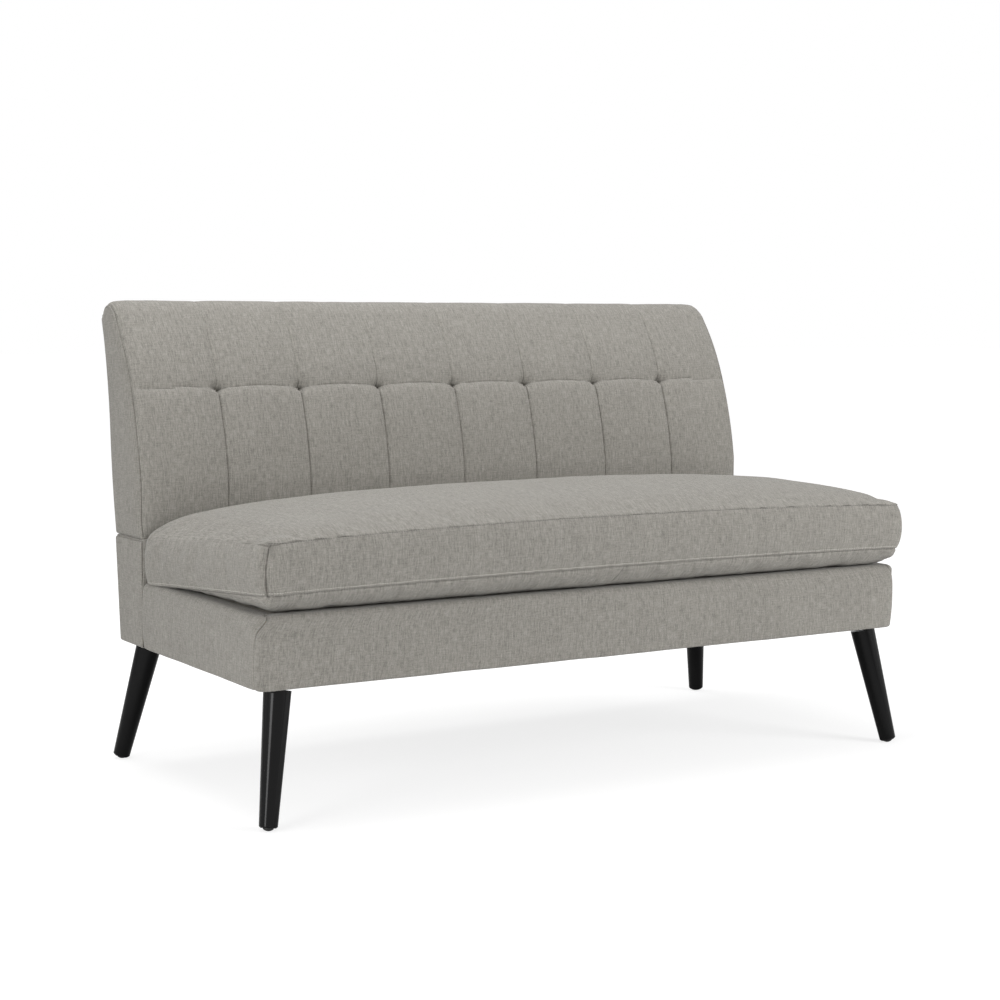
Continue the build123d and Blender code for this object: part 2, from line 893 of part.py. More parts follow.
def back_webbing():
    """Elastic bands across the stiles, between the bottom and the middle rail."""
    low = climb(rail_head)
    high = mid_rail_climb - back_rail_width / 2
    step = (high - low) / webbing_count
    bands = []
    for index in range(webbing_count):
        centre = low + (index + 0.5) * step
        bands.append(
            on_frame(
                -back_inner_x, back_inner_x, centre - webbing_width / 2, centre + webbing_width / 2,
                -webbing_thickness, 0,
            )
        )
    return group(bands)


def back_foam():
    """The foam between the frame and the tufted cover, over the top of the frame as well."""
    form = side_prism(back_outline(quilt_base + seat_gap), -back_inner_x, back_inner_x)
    foam = form - behind_frame_line(-webbing_thickness)
    return drilled(foam, twine_holes())


def tufting():
    """A twine from each tuft to a toggle behind the middle rail."""
    start = tufts_on_frame.Z + tuft_depth + quilt_thickness / 2 + twine_clearance
    twines = []
    toggles = []
    for x in tuft_places():
        place = frame_plane * Pos(x, tufts_on_frame.Y, 0)
        upward = (Align.CENTER, Align.CENTER, Align.MIN)
        length = back_rail_thickness - start
        twines.append(place * Pos(0, 0, start) * Cylinder(twine_radius, length, align=upward))
        toggles.append(
            place * Pos(0, 0, back_rail_thickness)
            * Cylinder(toggle_radius, toggle_thickness, align=upward)
        )
    return {"tufting_twines": group(twines), "tufting_toggles": group(toggles)}


def back_covers():
    """Side, rear and bottom covers of the backrest, and its tufted front."""
    inner_x = half_back - cover_thickness
    panel = side_prism(back_outline(0), inner_x, half_back)
    outer = side_prism(back_outline(0), -inner_x, inner_x)
    inner = side_prism(back_outline(cover_thickness), -inner_x, inner_x)
    floor = block(-far, far, -far, far, 0, back_bottom + cover_thickness)
    skin = outer - inner
    behind_quilt = block(-far, far, back_front + quilt_base + seat_gap, far, 0, far)
    return {
        "back_front_cover": tufted_cover(),
        "back_side_covers": both_sides(panel),
        "back_rear_cover": (skin & behind_frame_line(0)) - floor,
        "back_bottom_cover": (skin & floor & behind_quilt) - tongue_slot(
            socket_clearance, back_bottom, back_bottom + cover_thickness
        ),
    }


# --- Seat cushion ---


def seam_height(y):
    """Height of the cushion's lower seam at a depth: it runs down towards the backrest."""
    return lower_seam_front - cushion_tilt * y


def cushion_side_outline():
    """The cushion's outline seen from its end: bulged boxing, crowned top, flat on the deck."""
    front = cushion_front
    rear = cushion_rear
    rest = base_top - bottom_sag
    crown_bow = crown_bow_share * crown_height
    crown_y = front + crown_place * (rear - front)
    front_low = (front, seam_height(front))
    front_high = (front, seam_height(front) + boxing_height)
    top = (crown_y, seam_height(crown_y) + boxing_height + crown_height)
    rear_high = (rear, seam_height(rear) + boxing_height)
    rear_low = (rear, seam_height(rear))
    rear_rest = (rear - bottom_run_out, rest)
    front_rest = (front + bottom_run_in, rest)
    edges = [
        bowed(front_low, front_high, boxing_bulge),
        bowed(front_high, top, crown_bow),
        bowed(top, rear_high, crown_bow),
        Line(rear_high, rear_low),
        Line(rear_low, rear_rest),
        Line(rear_rest, front_rest),
        bowed(front_rest, front_low, bottom_bulge),
    ]
    return Plane.YZ * Face(Wire(edges))


def cushion_end_outline():
    """The cushion's outline seen from the front, square to its tilted seams."""
    half = cushion_half - boxing_bulge
    shoulder = (half - shoulder_run, boxing_height + crown_height + shoulder_rise)
    high = (half, boxing_height)
    low = (half, 0)
    foot = (half - bottom_run_in, -boxing_height)
    edges = [
        bowed(foot, low, -bottom_bulge),
        bowed(low, high, -boxing_bulge),
        bowed(high, shoulder, -shoulder_bow),
        Line(shoulder, (-shoulder[0], shoulder[1])),
        bowed((-shoulder[0], shoulder[1]), (-half, boxing_height), -shoulder_bow),
        bowed((-half, boxing_height), (-half, 0), -boxing_bulge),
        bowed((-half, 0), (-foot[0], foot[1]), -bottom_bulge),
        Line((-foot[0], foot[1]), foot),
    ]
    tilted = Plane(origin=(0, 0, lower_seam_front), x_dir=(1, 0, 0), z_dir=(0, -1, cushion_tilt))
    return tilted * Face(Wire(edges))


def cushion_form():
    """The whole cushion: crowned both ways, with bulged boxing, cut corners and a flat underside."""
    half = cushion_half
    form = side_prism(cushion_side_outline(), -half, half)
    form &= extrude(cushion_end_outline(), amount=far, both=True)
    form &= block(-half, half, -far, far, base_top + seat_gap, far)
    for side in (-1, 1):
        for y in (cushion_front, cushion_rear):
            corner = Pos(side * half, y, 0) * Rot(0, 0, 45)
            reach = 2 * cushion_corner
            form -= corner * Box(reach, reach, far)
    return form


def above_seam(rise):
    """All the room above the cushion's tilted lower seam, raised by a distance."""
    y0 = cushion_front - far
    y1 = cushion_rear + far
    outline = yz_polygon(
        (y0, seam_height(y0) + rise), (y1, seam_height(y1) + rise), (y1, 3 * far), (y0, 3 * far)
    )
    return side_prism(outline, -far, far)


def cushion_pieces():
    """Top cover, boxing band with its zipper, bottom cover in two halves, and the foam."""
    form = cushion_form()
    inset = cushion_wrap
    above_band = above_seam(boxing_height + seam_allowance)
    above_bottom = above_seam(-seam_allowance)
    core = block(
        inset - cushion_half, cushion_half - inset,
        cushion_front + inset, cushion_rear - inset, 0, far,
    )
    core = (core & above_bottom) - above_band
    band = (form & above_bottom) - above_band - core
    bottom = form - above_bottom
    zip_height = seam_height(cushion_rear) + boxing_height / 2
    zip_zone = block(
        zipper_inset - cushion_half, cushion_half - zipper_inset, cushion_rear - inset, far,
        zip_height - zipper_width / 2, zip_height + zipper_width / 2,
    )
    left_zone = block(-far, cushion_join_x, -far, far, 0, far)
    return {
        "cushion_top_cover": form & above_band,
        "cushion_band": band - zip_zone,
        "cushion_zipper": band & zip_zone,
        "cushion_bottom_cover": group([bottom & left_zone, bottom - left_zone]),
        "cushion_foam": core,
    }


# --- The whole sofa ---


def all_pieces():
    pieces = {"dust_cover": dust_cover()}
    for make in (
        base_frame, riser_frame, paddings, seat_support, seat_covers, riser_covers,
        leg_pieces, bracket_pieces, back_frame, tufting, back_covers, cushion_pieces,
    ):
        pieces.update(make())
    pieces["back_foam"] = back_foam()
    return pieces


def main():
    os.makedirs("parts", exist_ok=True)
    pieces = all_pieces()
    whole = Compound([solid for piece in pieces.values() for solid in solids_of(piece)])
    box = whole.bounding_box()
    middle = (box.min.Y + box.max.Y) / 2
    print("size", [round(v, 2) for v in box.size], "moved by", round(-middle, 3))
    for name, piece in pieces.items():
        export_step(Pos(0, -middle, 0) * group([piece]), f"parts/{name}.step")
    for leg in legs:
        print(leg.name, "axis", [round(v, 5) for v in leg.up], "top", [round(v, 2) for v in leg.top])


main()
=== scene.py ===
import json
import math

import bmesh
import bpy
import numpy as np
from bpy.props import FloatProperty, FloatVectorProperty, IntProperty, PointerProperty
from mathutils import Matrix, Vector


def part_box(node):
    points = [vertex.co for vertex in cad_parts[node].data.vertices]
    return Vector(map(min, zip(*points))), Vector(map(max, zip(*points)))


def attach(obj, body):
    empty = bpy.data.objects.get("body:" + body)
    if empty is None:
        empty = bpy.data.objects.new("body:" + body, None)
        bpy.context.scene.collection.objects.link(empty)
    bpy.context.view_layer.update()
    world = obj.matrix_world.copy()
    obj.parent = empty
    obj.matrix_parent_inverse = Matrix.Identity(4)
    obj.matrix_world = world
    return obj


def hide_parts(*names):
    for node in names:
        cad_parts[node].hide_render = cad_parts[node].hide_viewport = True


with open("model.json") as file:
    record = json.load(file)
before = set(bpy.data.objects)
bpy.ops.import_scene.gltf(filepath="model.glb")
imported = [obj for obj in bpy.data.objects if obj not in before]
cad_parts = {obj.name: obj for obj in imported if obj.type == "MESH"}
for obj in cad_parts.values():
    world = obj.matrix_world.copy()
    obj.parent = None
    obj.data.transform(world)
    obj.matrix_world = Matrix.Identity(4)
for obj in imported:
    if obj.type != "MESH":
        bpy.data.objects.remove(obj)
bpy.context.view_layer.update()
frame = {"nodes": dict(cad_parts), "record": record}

# Armless two-seat sofa: its upholstery, seams, materials, floor, lights and camera.
# Metres throughout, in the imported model's own frame: +Z up, the seat faces -Y.

bl_info = {
    "name": "Armless tufted sofa",
    "version": (1, 0, 0),
    "blender": (4, 5, 0),
    "location": "View3D > Sidebar > Sofa",
    "description": "Dresses the frame of an armless sofa with its covers, seams and finishes",
    "category": "Object",
}

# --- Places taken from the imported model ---

BASE_LOW, BASE_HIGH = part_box("front_cover")
RISER_LOW, RISER_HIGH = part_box("riser_side_covers")
BACK_LOW, BACK_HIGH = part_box("back_side_covers")
BAND_LOW, BAND_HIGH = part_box("cushion_band")
ZIP_LOW, ZIP_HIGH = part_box("cushion_zipper")

HALF_WIDTH = BASE_HIGH.x
BASE_FRONT = BASE_LOW.y
BASE_BOTTOM = BASE_LOW.z
BASE_TOP = BASE_HIGH.z
RISER_FRONT = RISER_LOW.y
RISER_TOP = RISER_HIGH.z
BACK_FRONT = BACK_LOW.y
BACK_BOTTOM = BACK_LOW.z
HALF_BACK = BACK_HIGH.x
DECK_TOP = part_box("deck_cloth")[1].z


# --- Sizes and colours that a user may change ---


def length_property(name, default, description):
    return FloatProperty(name=name, description=description, default=default, unit="LENGTH")


def colour_property(name, default, description):
    return FloatVectorProperty(
        name=name, description=description, default=default, size=3, subtype="COLOR"
    )


def angle_property(name, degrees, description):
    return FloatProperty(
        name=name, description=description, default=math.radians(degrees), subtype="ANGLE"
    )


class FabricSettings(bpy.types.PropertyGroup):
    thread: length_property("Thread pitch", 0.0021, "Distance between neighbouring threads")
    relief: length_property("Relief", 0.0006, "Height of the weave")
    light: colour_property("Light yarn", (0.430, 0.411, 0.370), "Colour of the light yarn")
    dark: colour_property("Dark yarn", (0.120, 0.114, 0.102), "Colour of the dark yarn")
    stitch: colour_property("Stitching", (0.56, 0.54, 0.49), "Colour of the sewing thread")


class CushionSettings(bpy.types.PropertyGroup):
    crown: length_property("Crown", 0.044, "Rise of the top above its edge")
    edge_rise: length_property("Edge rise", 0.008, "Quick rise of the top beside its seam")
    corner: length_property("Corner radius", 0.023, "Radius of the corners seen from above")
    upper_arch: length_property("Upper seam arch", 0.0135, "Drop of the upper seam at the ends")
    lower_arch: length_property("Lower seam arch", 0.006, "Drop of the lower seam at the ends")
    lower_seam: length_property("Lower seam height", 0.392, "Height of the lower front seam")
    boxing: length_property("Boxing height", 0.094, "Distance between the seams in the middle")
    tilt: FloatProperty(
        name="Tilt", description="Drop of the seams for each unit of depth", default=0.078
    )
    bulge: length_property("Boxing bulge", 0.0085, "How far the boxing stands proud")
    pressure: FloatProperty(
        name="Pressure", description="Air pressure while the covers settle", default=4.0
    )
    give: length_property("Give", 0.006, "Furthest that the covers may move while they settle")


class BackrestSettings(bpy.types.PropertyGroup):
    columns: IntProperty(name="Columns", description="Panels across the backrest", default=8)
    lower_puff: length_property("Lower puff", 0.0070, "How far the lower panels swell")
    upper_puff: length_property("Upper puff", 0.0045, "How far the upper panels swell")
    tuft_depth: length_property("Tuft depth", 0.025, "How far a tuft is drawn in")
    seam_depth: length_property("Seam depth", 0.0025, "Depth of the seams between panels")
    seam_rise: length_property("Seam rise", 0.006, "Rise of the level seam between two tufts")


class BaseSettings(bpy.types.PropertyGroup):
    corner: length_property("Corner radius", 0.014, "Radius of the front corners")
    rim: length_property("Rim radius", 0.010, "Radius of the upper edges")
    border: length_property("Border", 0.036, "Width of the cover round the seat deck")
    hem: length_property("Hem", 0.016, "Width of cover turned under the frame")
    cloth: length_property("Cover thickness", 0.0028, "Thickness of the padded covers")


class LegSettings(bpy.types.PropertyGroup):
    lacquer: colour_property("Lacquer", (0.0021, 0.0021, 0.002275), "Colour of the legs")


class StageSettings(bpy.types.PropertyGroup):
    camera_place: FloatVectorProperty(
        name="Camera", description="Where the camera stands", default=(-2.0697, -3.2812, 0.8529),
        size=3, subtype="TRANSLATION",
    )
    camera_yaw: angle_property("Yaw", 31.90, "Turn of the camera to the right")
    camera_pitch: angle_property("Pitch", 5.449, "How far the camera looks down")
    camera_roll: angle_property("Roll", -0.324, "Roll of the camera")
    lens: FloatProperty(name="Lens", description="Focal length, in millimetres", default=73.06)
    floor: colour_property("Floor", (0.82, 0.82, 0.82), "Colour of the floor")


# --- Small helpers ---

# Cells along each side of the table of random numbers behind the ripples
LATTICE = 32
# How far the rows of points beside a seam lie from it
SEAM_ROWS = (0.0008, 0.0018, 0.0032, 0.0052, 0.0080, 0.0120)
# Points nearer than this are merged
MERGE = 0.00002


def settings():
    return bpy.context.scene.sofa


def deselect():
    if bpy.context.mode != "OBJECT":
        bpy.ops.object.mode_set(mode="OBJECT")
    bpy.ops.object.select_all(action="DESELECT")


def make_active(piece):
    deselect()
    piece.select_set(True)
    bpy.context.view_layer.objects.active = piece


def smooth_step(value):
    value = np.clip(value, 0.0, 1.0)
    return value * value * (3 - 2 * value)


def bell(value, width, power=2):
    """A bump of height one round zero; with a power of one, a fall on both sides of it."""
    return np.exp(-((np.abs(value) / width) ** power))


def ripple(points, size, seed):
    """Smooth waves of about the given size, between -1 and 1, the same in every run."""
    table = np.random.default_rng(seed).uniform(-1, 1, (LATTICE, LATTICE, LATTICE))
    place = points / size
    cell = np.floor(place).astype(int)
    part = smooth_step(place - cell)
    total = np.zeros(len(points))
    for corner in np.ndindex(2, 2, 2):
        weight = np.where(corner, part, 1 - part).prod(axis=1)
        x, y, z = ((cell + corner) % LATTICE).T
        total += weight * table[x, y, z]
    return total


def graded(stops, step, near=SEAM_ROWS):
    """Stops with fine steps beside each of them, where a seam lies, and even steps between."""
    values = []
    for start, end in zip(stops[:-1], stops[1:]):
        inner = end - start - 2 * near[-1]
        middle = start + near[-1] + np.linspace(0, inner, max(1, math.ceil(inner / step)) + 1)
        values += [start] + [start + gap for gap in near[:-1]] + list(middle)
        values += [end - gap for gap in near[:-1]][::-1]
    values.append(stops[-1])
    return np.array(values)


def points_of(*axes):
    """Points with the given coordinates, which are spread out to one shape."""
    return np.stack(np.broadcast_arrays(*axes), axis=-1)


def distances(path):
    """How far along a path each of its points lies; for a grid, along its first side."""
    steps = np.linalg.norm(np.diff(path, axis=0), axis=-1)
    return np.concatenate([np.zeros((1,) + steps.shape[1:]), np.cumsum(steps, axis=0)])


def unit(vectors):
    """The vectors at a length of one."""
    return vectors / (np.linalg.norm(vectors, axis=-1, keepdims=True) + 1e-12)


def add_mesh(name, points, faces):
    """A new piece in the scene."""
    mesh = bpy.data.meshes.new(name)
    mesh.from_pydata(points, [], faces)
    piece = bpy.data.objects.new(name, mesh)
    bpy.context.scene.collection.objects.link(piece)
    return piece


def mesh_from_patches(name, patches):
    """One mesh from patches, each a grid of points and a grid of cloth coordinates in metres."""
    faces = []
    start = 0
    for grid, _ in patches:
        rows, columns = grid.shape[:2]
        index = start + np.arange(rows * columns).reshape(rows, columns)
        quads = [index[:-1, :-1], index[1:, :-1], index[1:, 1:], index[:-1, 1:]]
        faces.append(np.stack(quads, axis=-1).reshape(-1, 4))
        start += rows * columns
    points = np.concatenate([grid.reshape(-1, 3) for grid, _ in patches])
    coordinates = np.concatenate([cloth.reshape(-1, 2) for _, cloth in patches])
    faces = np.concatenate(faces)
    piece = add_mesh(name, points.tolist(), faces.tolist())
    layer = piece.data.uv_layers.new(name="UVMap")
    layer.data.foreach_set("uv", coordinates[faces.reshape(-1)].astype(np.float32).reshape(-1))
    close_seams(piece)
    return piece


def slab(front, rear, cloth, shift=0.0, rim=0.01):
    """Patches of a closed slab: its front, its rear and the rims between their four sides."""
    patches = [(front, cloth), (rear, cloth + shift)]
    for side in ((0,), (-1,), (slice(None), 0), (slice(None), -1)):
        wall = np.stack([front[side], rear[side]], axis=1)
        patches.append((wall, np.stack([cloth[side], cloth[side] + rim], axis=1)))
    return patches


def tube_faces(start, rings, sides):
    """Faces of a closed tube whose rings of points begin at an index."""
    faces = []
    for ring in range(rings - 1):
        for step in range(sides):
            here = start + ring * sides + step
            beside = start + ring * sides + (step + 1) % sides
            faces.append((here, beside, beside + sides, here + sides))
    last = start + (rings - 1) * sides
    faces.append(tuple(range(start + sides - 1, start - 1, -1)))
    faces.append(tuple(range(last, last + sides)))
    return faces


def close_seams(piece):
    """Merges what meets, drops what is flat and turns all faces outwards."""
    work = bmesh.new()
    work.from_mesh(piece.data)
    bmesh.ops.remove_doubles(work, verts=work.verts, dist=MERGE)
    bmesh.ops.dissolve_degenerate(work, edges=work.edges, dist=MERGE / 10)
    bmesh.ops.recalc_face_normals(work, faces=work.faces)
    work.to_mesh(piece.data)
    work.free()
    piece.data.update()


def cut_out(piece, within):
    """Deletes the faces whose middles are within a region."""
    work = bmesh.new()
    work.from_mesh(piece.data)
    gone = [face for face in work.faces if within(face.calc_center_median())]
    bmesh.ops.delete(work, geom=gone, context="FACES")
    work.to_mesh(piece.data)
    work.free()


def vertex_values(piece, name):
    """Coordinates ("co") or normals ("normal") of all vertices."""
    values = np.zeros(len(piece.data.vertices) * 3)
    piece.data.vertices.foreach_get(name, values)
    return values.reshape(-1, 3)


def put_coordinates(piece, points):
    piece.data.vertices.foreach_set("co", points.astype(np.float32).reshape(-1))
    piece.data.update()


def apply_modifier(piece, name, kind, **values):
    """Adds a modifier to the active piece with the given values and applies it."""
    modifier = piece.modifiers.new(name, kind)
    for key, value in values.items():
        setattr(modifier, key, value)
    bpy.ops.object.modifier_apply(modifier=modifier.name)


def finish_cloth(piece, levels=1, thickness=0.0):
    """Thickness inwards where it is a single layer, then a subdivision, with smooth faces."""
    make_active(piece)
    if thickness:
        apply_modifier(piece, "Thickness", "SOLIDIFY", thickness=thickness, offset=-1)
    if levels:
        apply_modifier(piece, "Round", "SUBSURF", levels=levels, render_levels=levels)
    bpy.ops.object.shade_smooth()
    deselect()


# How the cushion's covers behave while they settle, and for how many frames
SETTLING = {
    "quality": 5, "mass": 0.3, "tension_stiffness": 20, "compression_stiffness": 20,
    "shear_stiffness": 8, "bending_stiffness": 0.6, "vertex_group_mass": "held",
    "use_pressure": True, "shrink_min": -0.012,
}
SETTLING_FRAMES = 20


def settle(piece, held, pressure, give):
    """Blows a closed cover up a little as cloth, with the held points fixed, and keeps it."""
    before = vertex_values(piece, "co")
    pins = piece.vertex_groups.new(name="held")
    for index in np.nonzero(held > 0)[0]:
        pins.add([int(index)], float(held[index]), "REPLACE")
    make_active(piece)
    cloth = piece.modifiers.new("Cloth", "CLOTH")
    for key, value in SETTLING.items():
        setattr(cloth.settings, key, value)
    cloth.settings.uniform_pressure_force = pressure
    cloth.settings.effector_weights.gravity = 0
    cloth.collision_settings.use_collision = False
    cloth.point_cache.frame_start = 1
    cloth.point_cache.frame_end = SETTLING_FRAMES
    scene = bpy.context.scene
    for number in range(1, SETTLING_FRAMES + 1):
        scene.frame_set(number)
    bpy.ops.object.modifier_apply(modifier=cloth.name)
    scene.frame_set(1)
    moved = vertex_values(piece, "co") - before
    length = np.linalg.norm(moved, axis=1, keepdims=True) + 1e-9
    put_coordinates(piece, before + moved / length * give * np.tanh(length / give))
    piece.vertex_groups.remove(piece.vertex_groups["held"])
    deselect()


# --- Covers made from a grid of points ---


def grid_normals(grid):
    """Unit normals of a grid of points."""
    return unit(np.cross(np.gradient(grid, axis=0), np.gradient(grid, axis=1)))


def seam_distance(grid, seams):
    """How far each point of a grid lies from the nearest of its sewn sides, along the cloth."""
    from_first = distances(grid)
    from_left = distances(grid.swapaxes(0, 1)).T
    sides = {
        "first": from_first, "last": from_first[-1:] - from_first,
        "left": from_left, "right": from_left[:, -1:] - from_left,
    }
    return np.min([sides[side] for side in seams], axis=0)


def cloth_coordinates(grid, shift):
    """Coordinates in metres over the cloth of a grid, for the weave."""
    rows, columns = grid.shape[:2]
    u, v = distances(grid[:, columns // 2]), distances(grid[rows // 2])
    return points_of(u[:, None] + shift, v)


def make_cover(name, grid, middle, seams, shift, seed, body, nodes, waves=0.0005, puff=0.0):
    """A stretched cover: a grid of points with sunk seams, a little unevenness and a thickness.

    middle is a point inside, shift moves the weave and nodes are what the cover stands for.
    """
    normals = grid_normals(grid)
    if np.sum(normals * (grid - np.array(middle))) < 0:
        normals = -normals
    away = seam_distance(grid, seams)
    flat = grid.reshape(-1, 3)
    uneven = waves * ripple(flat, 0.075, seed) + 0.4 * waves * ripple(flat, 0.028, seed + 1)
    uneven = uneven.reshape(grid.shape[:2]) * (1 - bell(away, 0.015, 1))
    lift = uneven + puff * (1 - bell(away, 0.018, 1)) + seam_profile(away)
    shaped = grid + normals * lift[..., None]
    piece = mesh_from_patches(name, [(shaped, cloth_coordinates(grid, shift))])
    face_out(piece, middle)
    finish_cloth(piece, 1, settings().base.cloth)
    upholster(piece, body, nodes)


def seam_profile(away):
    """How far cloth is drawn in at a distance from a seam: a narrow groove in a soft roll."""
    return -0.0010 * bell(away, 0.0013) - 0.0012 * bell(away, 0.005, 1)


def face_out(piece, middle):
    """Turns a single layer so that its faces look away from a point inside."""
    score = 0.0
    for face in piece.data.polygons:
        score += np.dot(np.array(face.normal), np.array(face.center) - middle) * face.area
    if score < 0:
        piece.data.flip_normals()
        piece.data.update()


# --- Stitching ---

# A stitch's rings, each as a place along it and a width, and the points in each ring
BEAD = ((-0.5, 0.35), (-0.25, 1.0), (0.25, 1.0), (0.5, 0.35))
BEAD_SIDES = 5


def stitch_row(name, path, outward, pitch, length, radius):
    """Sewing stitches along a path: short rounded beads of thread, half sunk in the cloth."""
    along = distances(path)

    def at(values, place):
        return np.array([np.interp(place, along, column) for column in values.T])

    points, faces = [], []
    for number in range(int(along[-1] / pitch)):
        middle = (number + 0.5) * pitch
        place = at(path, middle)
        forward = unit(at(path, middle + pitch / 4) - place)
        up = at(outward, middle)
        up = unit(up - forward * np.dot(up, forward))
        side = np.cross(forward, up)
        faces += tube_faces(len(points), len(BEAD), BEAD_SIDES)
        for shift, width in BEAD:
            for step in range(BEAD_SIDES):
                angle = 2 * math.pi * step / BEAD_SIDES
                spread = side * math.cos(angle) + up * 0.8 * math.sin(angle)
                spot = place + forward * shift * length + spread * radius * width
                points.append(tuple(spot))
    piece = add_mesh(name, points, faces)
    close_seams(piece)
    finish_cloth(piece, 0)
    return piece


# --- Shader node groups ---


class Wiring:
    """Short calls for wiring nodes in one tree."""

    def __init__(self, tree):
        self.tree = tree

    def link(self, source, target):
        self.tree.links.new(source, target)

    def feed(self, socket, value):
        if isinstance(value, bpy.types.NodeSocket):
            self.link(value, socket)
        else:
            socket.default_value = value

    def add(self, kind, inputs, **values):
        """A new node with values and with inputs by name or number, fed where not None."""
        node = self.tree.nodes.new("ShaderNode" + kind)
        for key, value in values.items():
            setattr(node, key, value)
        for key, value in inputs.items():
            if value is not None:
                self.feed(node.inputs[key], value)
        return node

    def math(self, operation, first, second=None, third=None, clamp=False):
        inputs = {0: first, 1: second, 2: third}
        return self.add("Math", inputs, operation=operation, use_clamp=clamp).outputs[0]

    def mix(self, share, first, second):
        return self.add("Mix", {0: share, 6: first, 7: second}, data_type="RGBA").outputs[2]

    def noise(self, vector, scale, detail=2.0, rough=0.5):
        inputs = {"Vector": vector, "Scale": scale, "Detail": detail, "Roughness": rough}
        return self.add("TexNoise", inputs).outputs[0]

    def stretched(self, vector, scale, detail, rough):
        """Noise drawn out along the axes by a scale for each."""
        place = self.add("Mapping", {"Vector": vector, "Scale": scale}).outputs[0]
        return self.noise(place, 1.0, detail, rough)

    def split(self, vector):
        return self.add("SeparateXYZ", {0: vector}).outputs

    def spread(self, value, low, high, to_low=0.0, to_high=1.0):
        inputs = {
            "Value": value, "From Min": low, "From Max": high, "To Min": to_low, "To Max": to_high,
        }
        return self.add("MapRange", inputs).outputs[0]


def surface_group(fill, defaults):
    """A node group from a vector and inputs to colour, roughness and height, made once.

    defaults maps the inputs' names to values; fill wires the group and returns its outputs.
    """
    name = fill.__name__
    known = bpy.data.node_groups.get(name)
    if known:
        return known
    group = bpy.data.node_groups.new(name, "ShaderNodeTree")
    add_socket = group.interface.new_socket
    add_socket(name="Vector", in_out="INPUT", socket_type="NodeSocketVector")
    for socket, default in defaults.items():
        kind = "NodeSocketColor" if isinstance(default, tuple) else "NodeSocketFloat"
        add_socket(name=socket, in_out="INPUT", socket_type=kind).default_value = default
    add_socket(name="Color", in_out="OUTPUT", socket_type="NodeSocketColor")
    add_socket(name="Roughness", in_out="OUTPUT", socket_type="NodeSocketFloat")
    add_socket(name="Height", in_out="OUTPUT", socket_type="NodeSocketFloat")
    wire = Wiring(group)
    results = fill(wire, group.nodes.new("NodeGroupInput").outputs)
    for result, socket in zip(results, group.nodes.new("NodeGroupOutput").inputs):
        wire.link(result, socket)
    return group


def linen_weave(wire, given):
    """Coarse plain weave with uneven yarns, from cloth coordinates."""
    vector = given["Vector"]
    wander = wire.noise(vector, 55.0)
    x, y, _ = wire.split(vector)
    x = wire.math("ADD", x, wire.math("MULTIPLY", wander, 0.0016))
    y = wire.math("ADD", y, wire.math("MULTIPLY", wander, -0.0014))
    across = wire.math("DIVIDE", x, given["Thread Pitch"])
    along = wire.math("DIVIDE", y, given["Thread Pitch"])
    warp = wire.math("SINE", wire.math("MULTIPLY", across, math.pi))
    weft = wire.math("SINE", wire.math("MULTIPLY", along, math.pi))
    over = wire.math("GREATER_THAN", wire.math("MULTIPLY", warp, weft), 0.0)
    threads = wire.math(
        "ADD",
        wire.math("MULTIPLY", wire.math("ABSOLUTE", warp), over),
        wire.math("MULTIPLY", wire.math("ABSOLUTE", weft), wire.math("SUBTRACT", 1.0, over)),
    )
    rib = wire.spread(wire.stretched(vector, (430.0, 62.0, 1.0), 2.0, 0.6), 0.36, 0.64)
    rung = wire.spread(wire.stretched(vector, (62.0, 430.0, 1.0), 2.0, 0.6), 0.36, 0.64)
    fleck = wire.stretched(vector, (520.0, 400.0, 1.0), 1.0, 0.7)
    slub = wire.stretched(vector, (210.0, 7.0, 1.0), 1.0, 0.5)
    yarn = wire.math("MULTIPLY_ADD", rung, 0.6, rib)
    yarn = wire.math("MULTIPLY", yarn, given["Slubs"])
    tone = wire.math("MULTIPLY_ADD", yarn, 0.25, wire.math("MULTIPLY", threads, 0.34))
    tone = wire.math("ADD", tone, wire.spread(fleck, 0.38, 0.62, -0.06, 0.08))
    tone = wire.math("ADD", tone, wire.spread(slub, 0.3, 0.7, -0.045, 0.045))
    cloud = wire.spread(wire.noise(vector, 14.0), 0.3, 0.7, -0.015, 0.015)
    tone = wire.math("ADD", tone, cloud, clamp=True)
    height = wire.math("MULTIPLY_ADD", yarn, 0.30, wire.math("MULTIPLY", threads, 0.6))
    return (
        wire.mix(tone, given["Dark Yarn"], given["Light Yarn"]),
        wire.spread(tone, 0.0, 1.0, 0.95, 0.82),
        wire.math("MULTIPLY_ADD", fleck, 0.20, height),
    )


def wood_grain(wire, given):
    """Wood grain along one axis."""
    vector = given["Vector"]
    bend = wire.noise(vector, 6.0)
    _, y, z = wire.split(vector)
    rings = wire.math("ADD", y, wire.math("MULTIPLY", z, 0.6))
    rings = wire.math("MULTIPLY_ADD", bend, 0.06, rings)
    rings = wire.math("MULTIPLY", rings, given["Ring Scale"])
    rings = wire.math("ABSOLUTE", wire.math("SINE", wire.math("MULTIPLY", rings, math.pi)))
    fibre = wire.stretched(vector, (14.0, 520.0, 520.0), 3.0, 0.6)
    share = wire.math("MULTIPLY_ADD", fibre, 0.5, wire.math("MULTIPLY", rings, 0.5), clamp=True)
    colour = wire.mix(share, given["Late Wood"], given["Early Wood"])
    return colour, wire.spread(share, 0.0, 1.0, 0.72, 0.5), fibre


def mottle(wire, given):
    """Soft patches and fine grit for foam, felt, plastic and plated steel."""
    patch = wire.noise(given["Vector"], given["Patch Scale"], 3.0, 0.6)
    grit = wire.noise(given["Vector"], given["Grit Scale"], 2.0, 0.6)
    share = wire.math("MULTIPLY_ADD", patch, 0.6, wire.math("MULTIPLY", grit, 0.4), clamp=True)
    span = wire.math("SUBTRACT", given["Rough High"], given["Rough Low"])
    rough = wire.math("MULTIPLY_ADD", share, span, given["Rough Low"])
    return wire.mix(share, given["Color A"], given["Color B"]), rough, grit


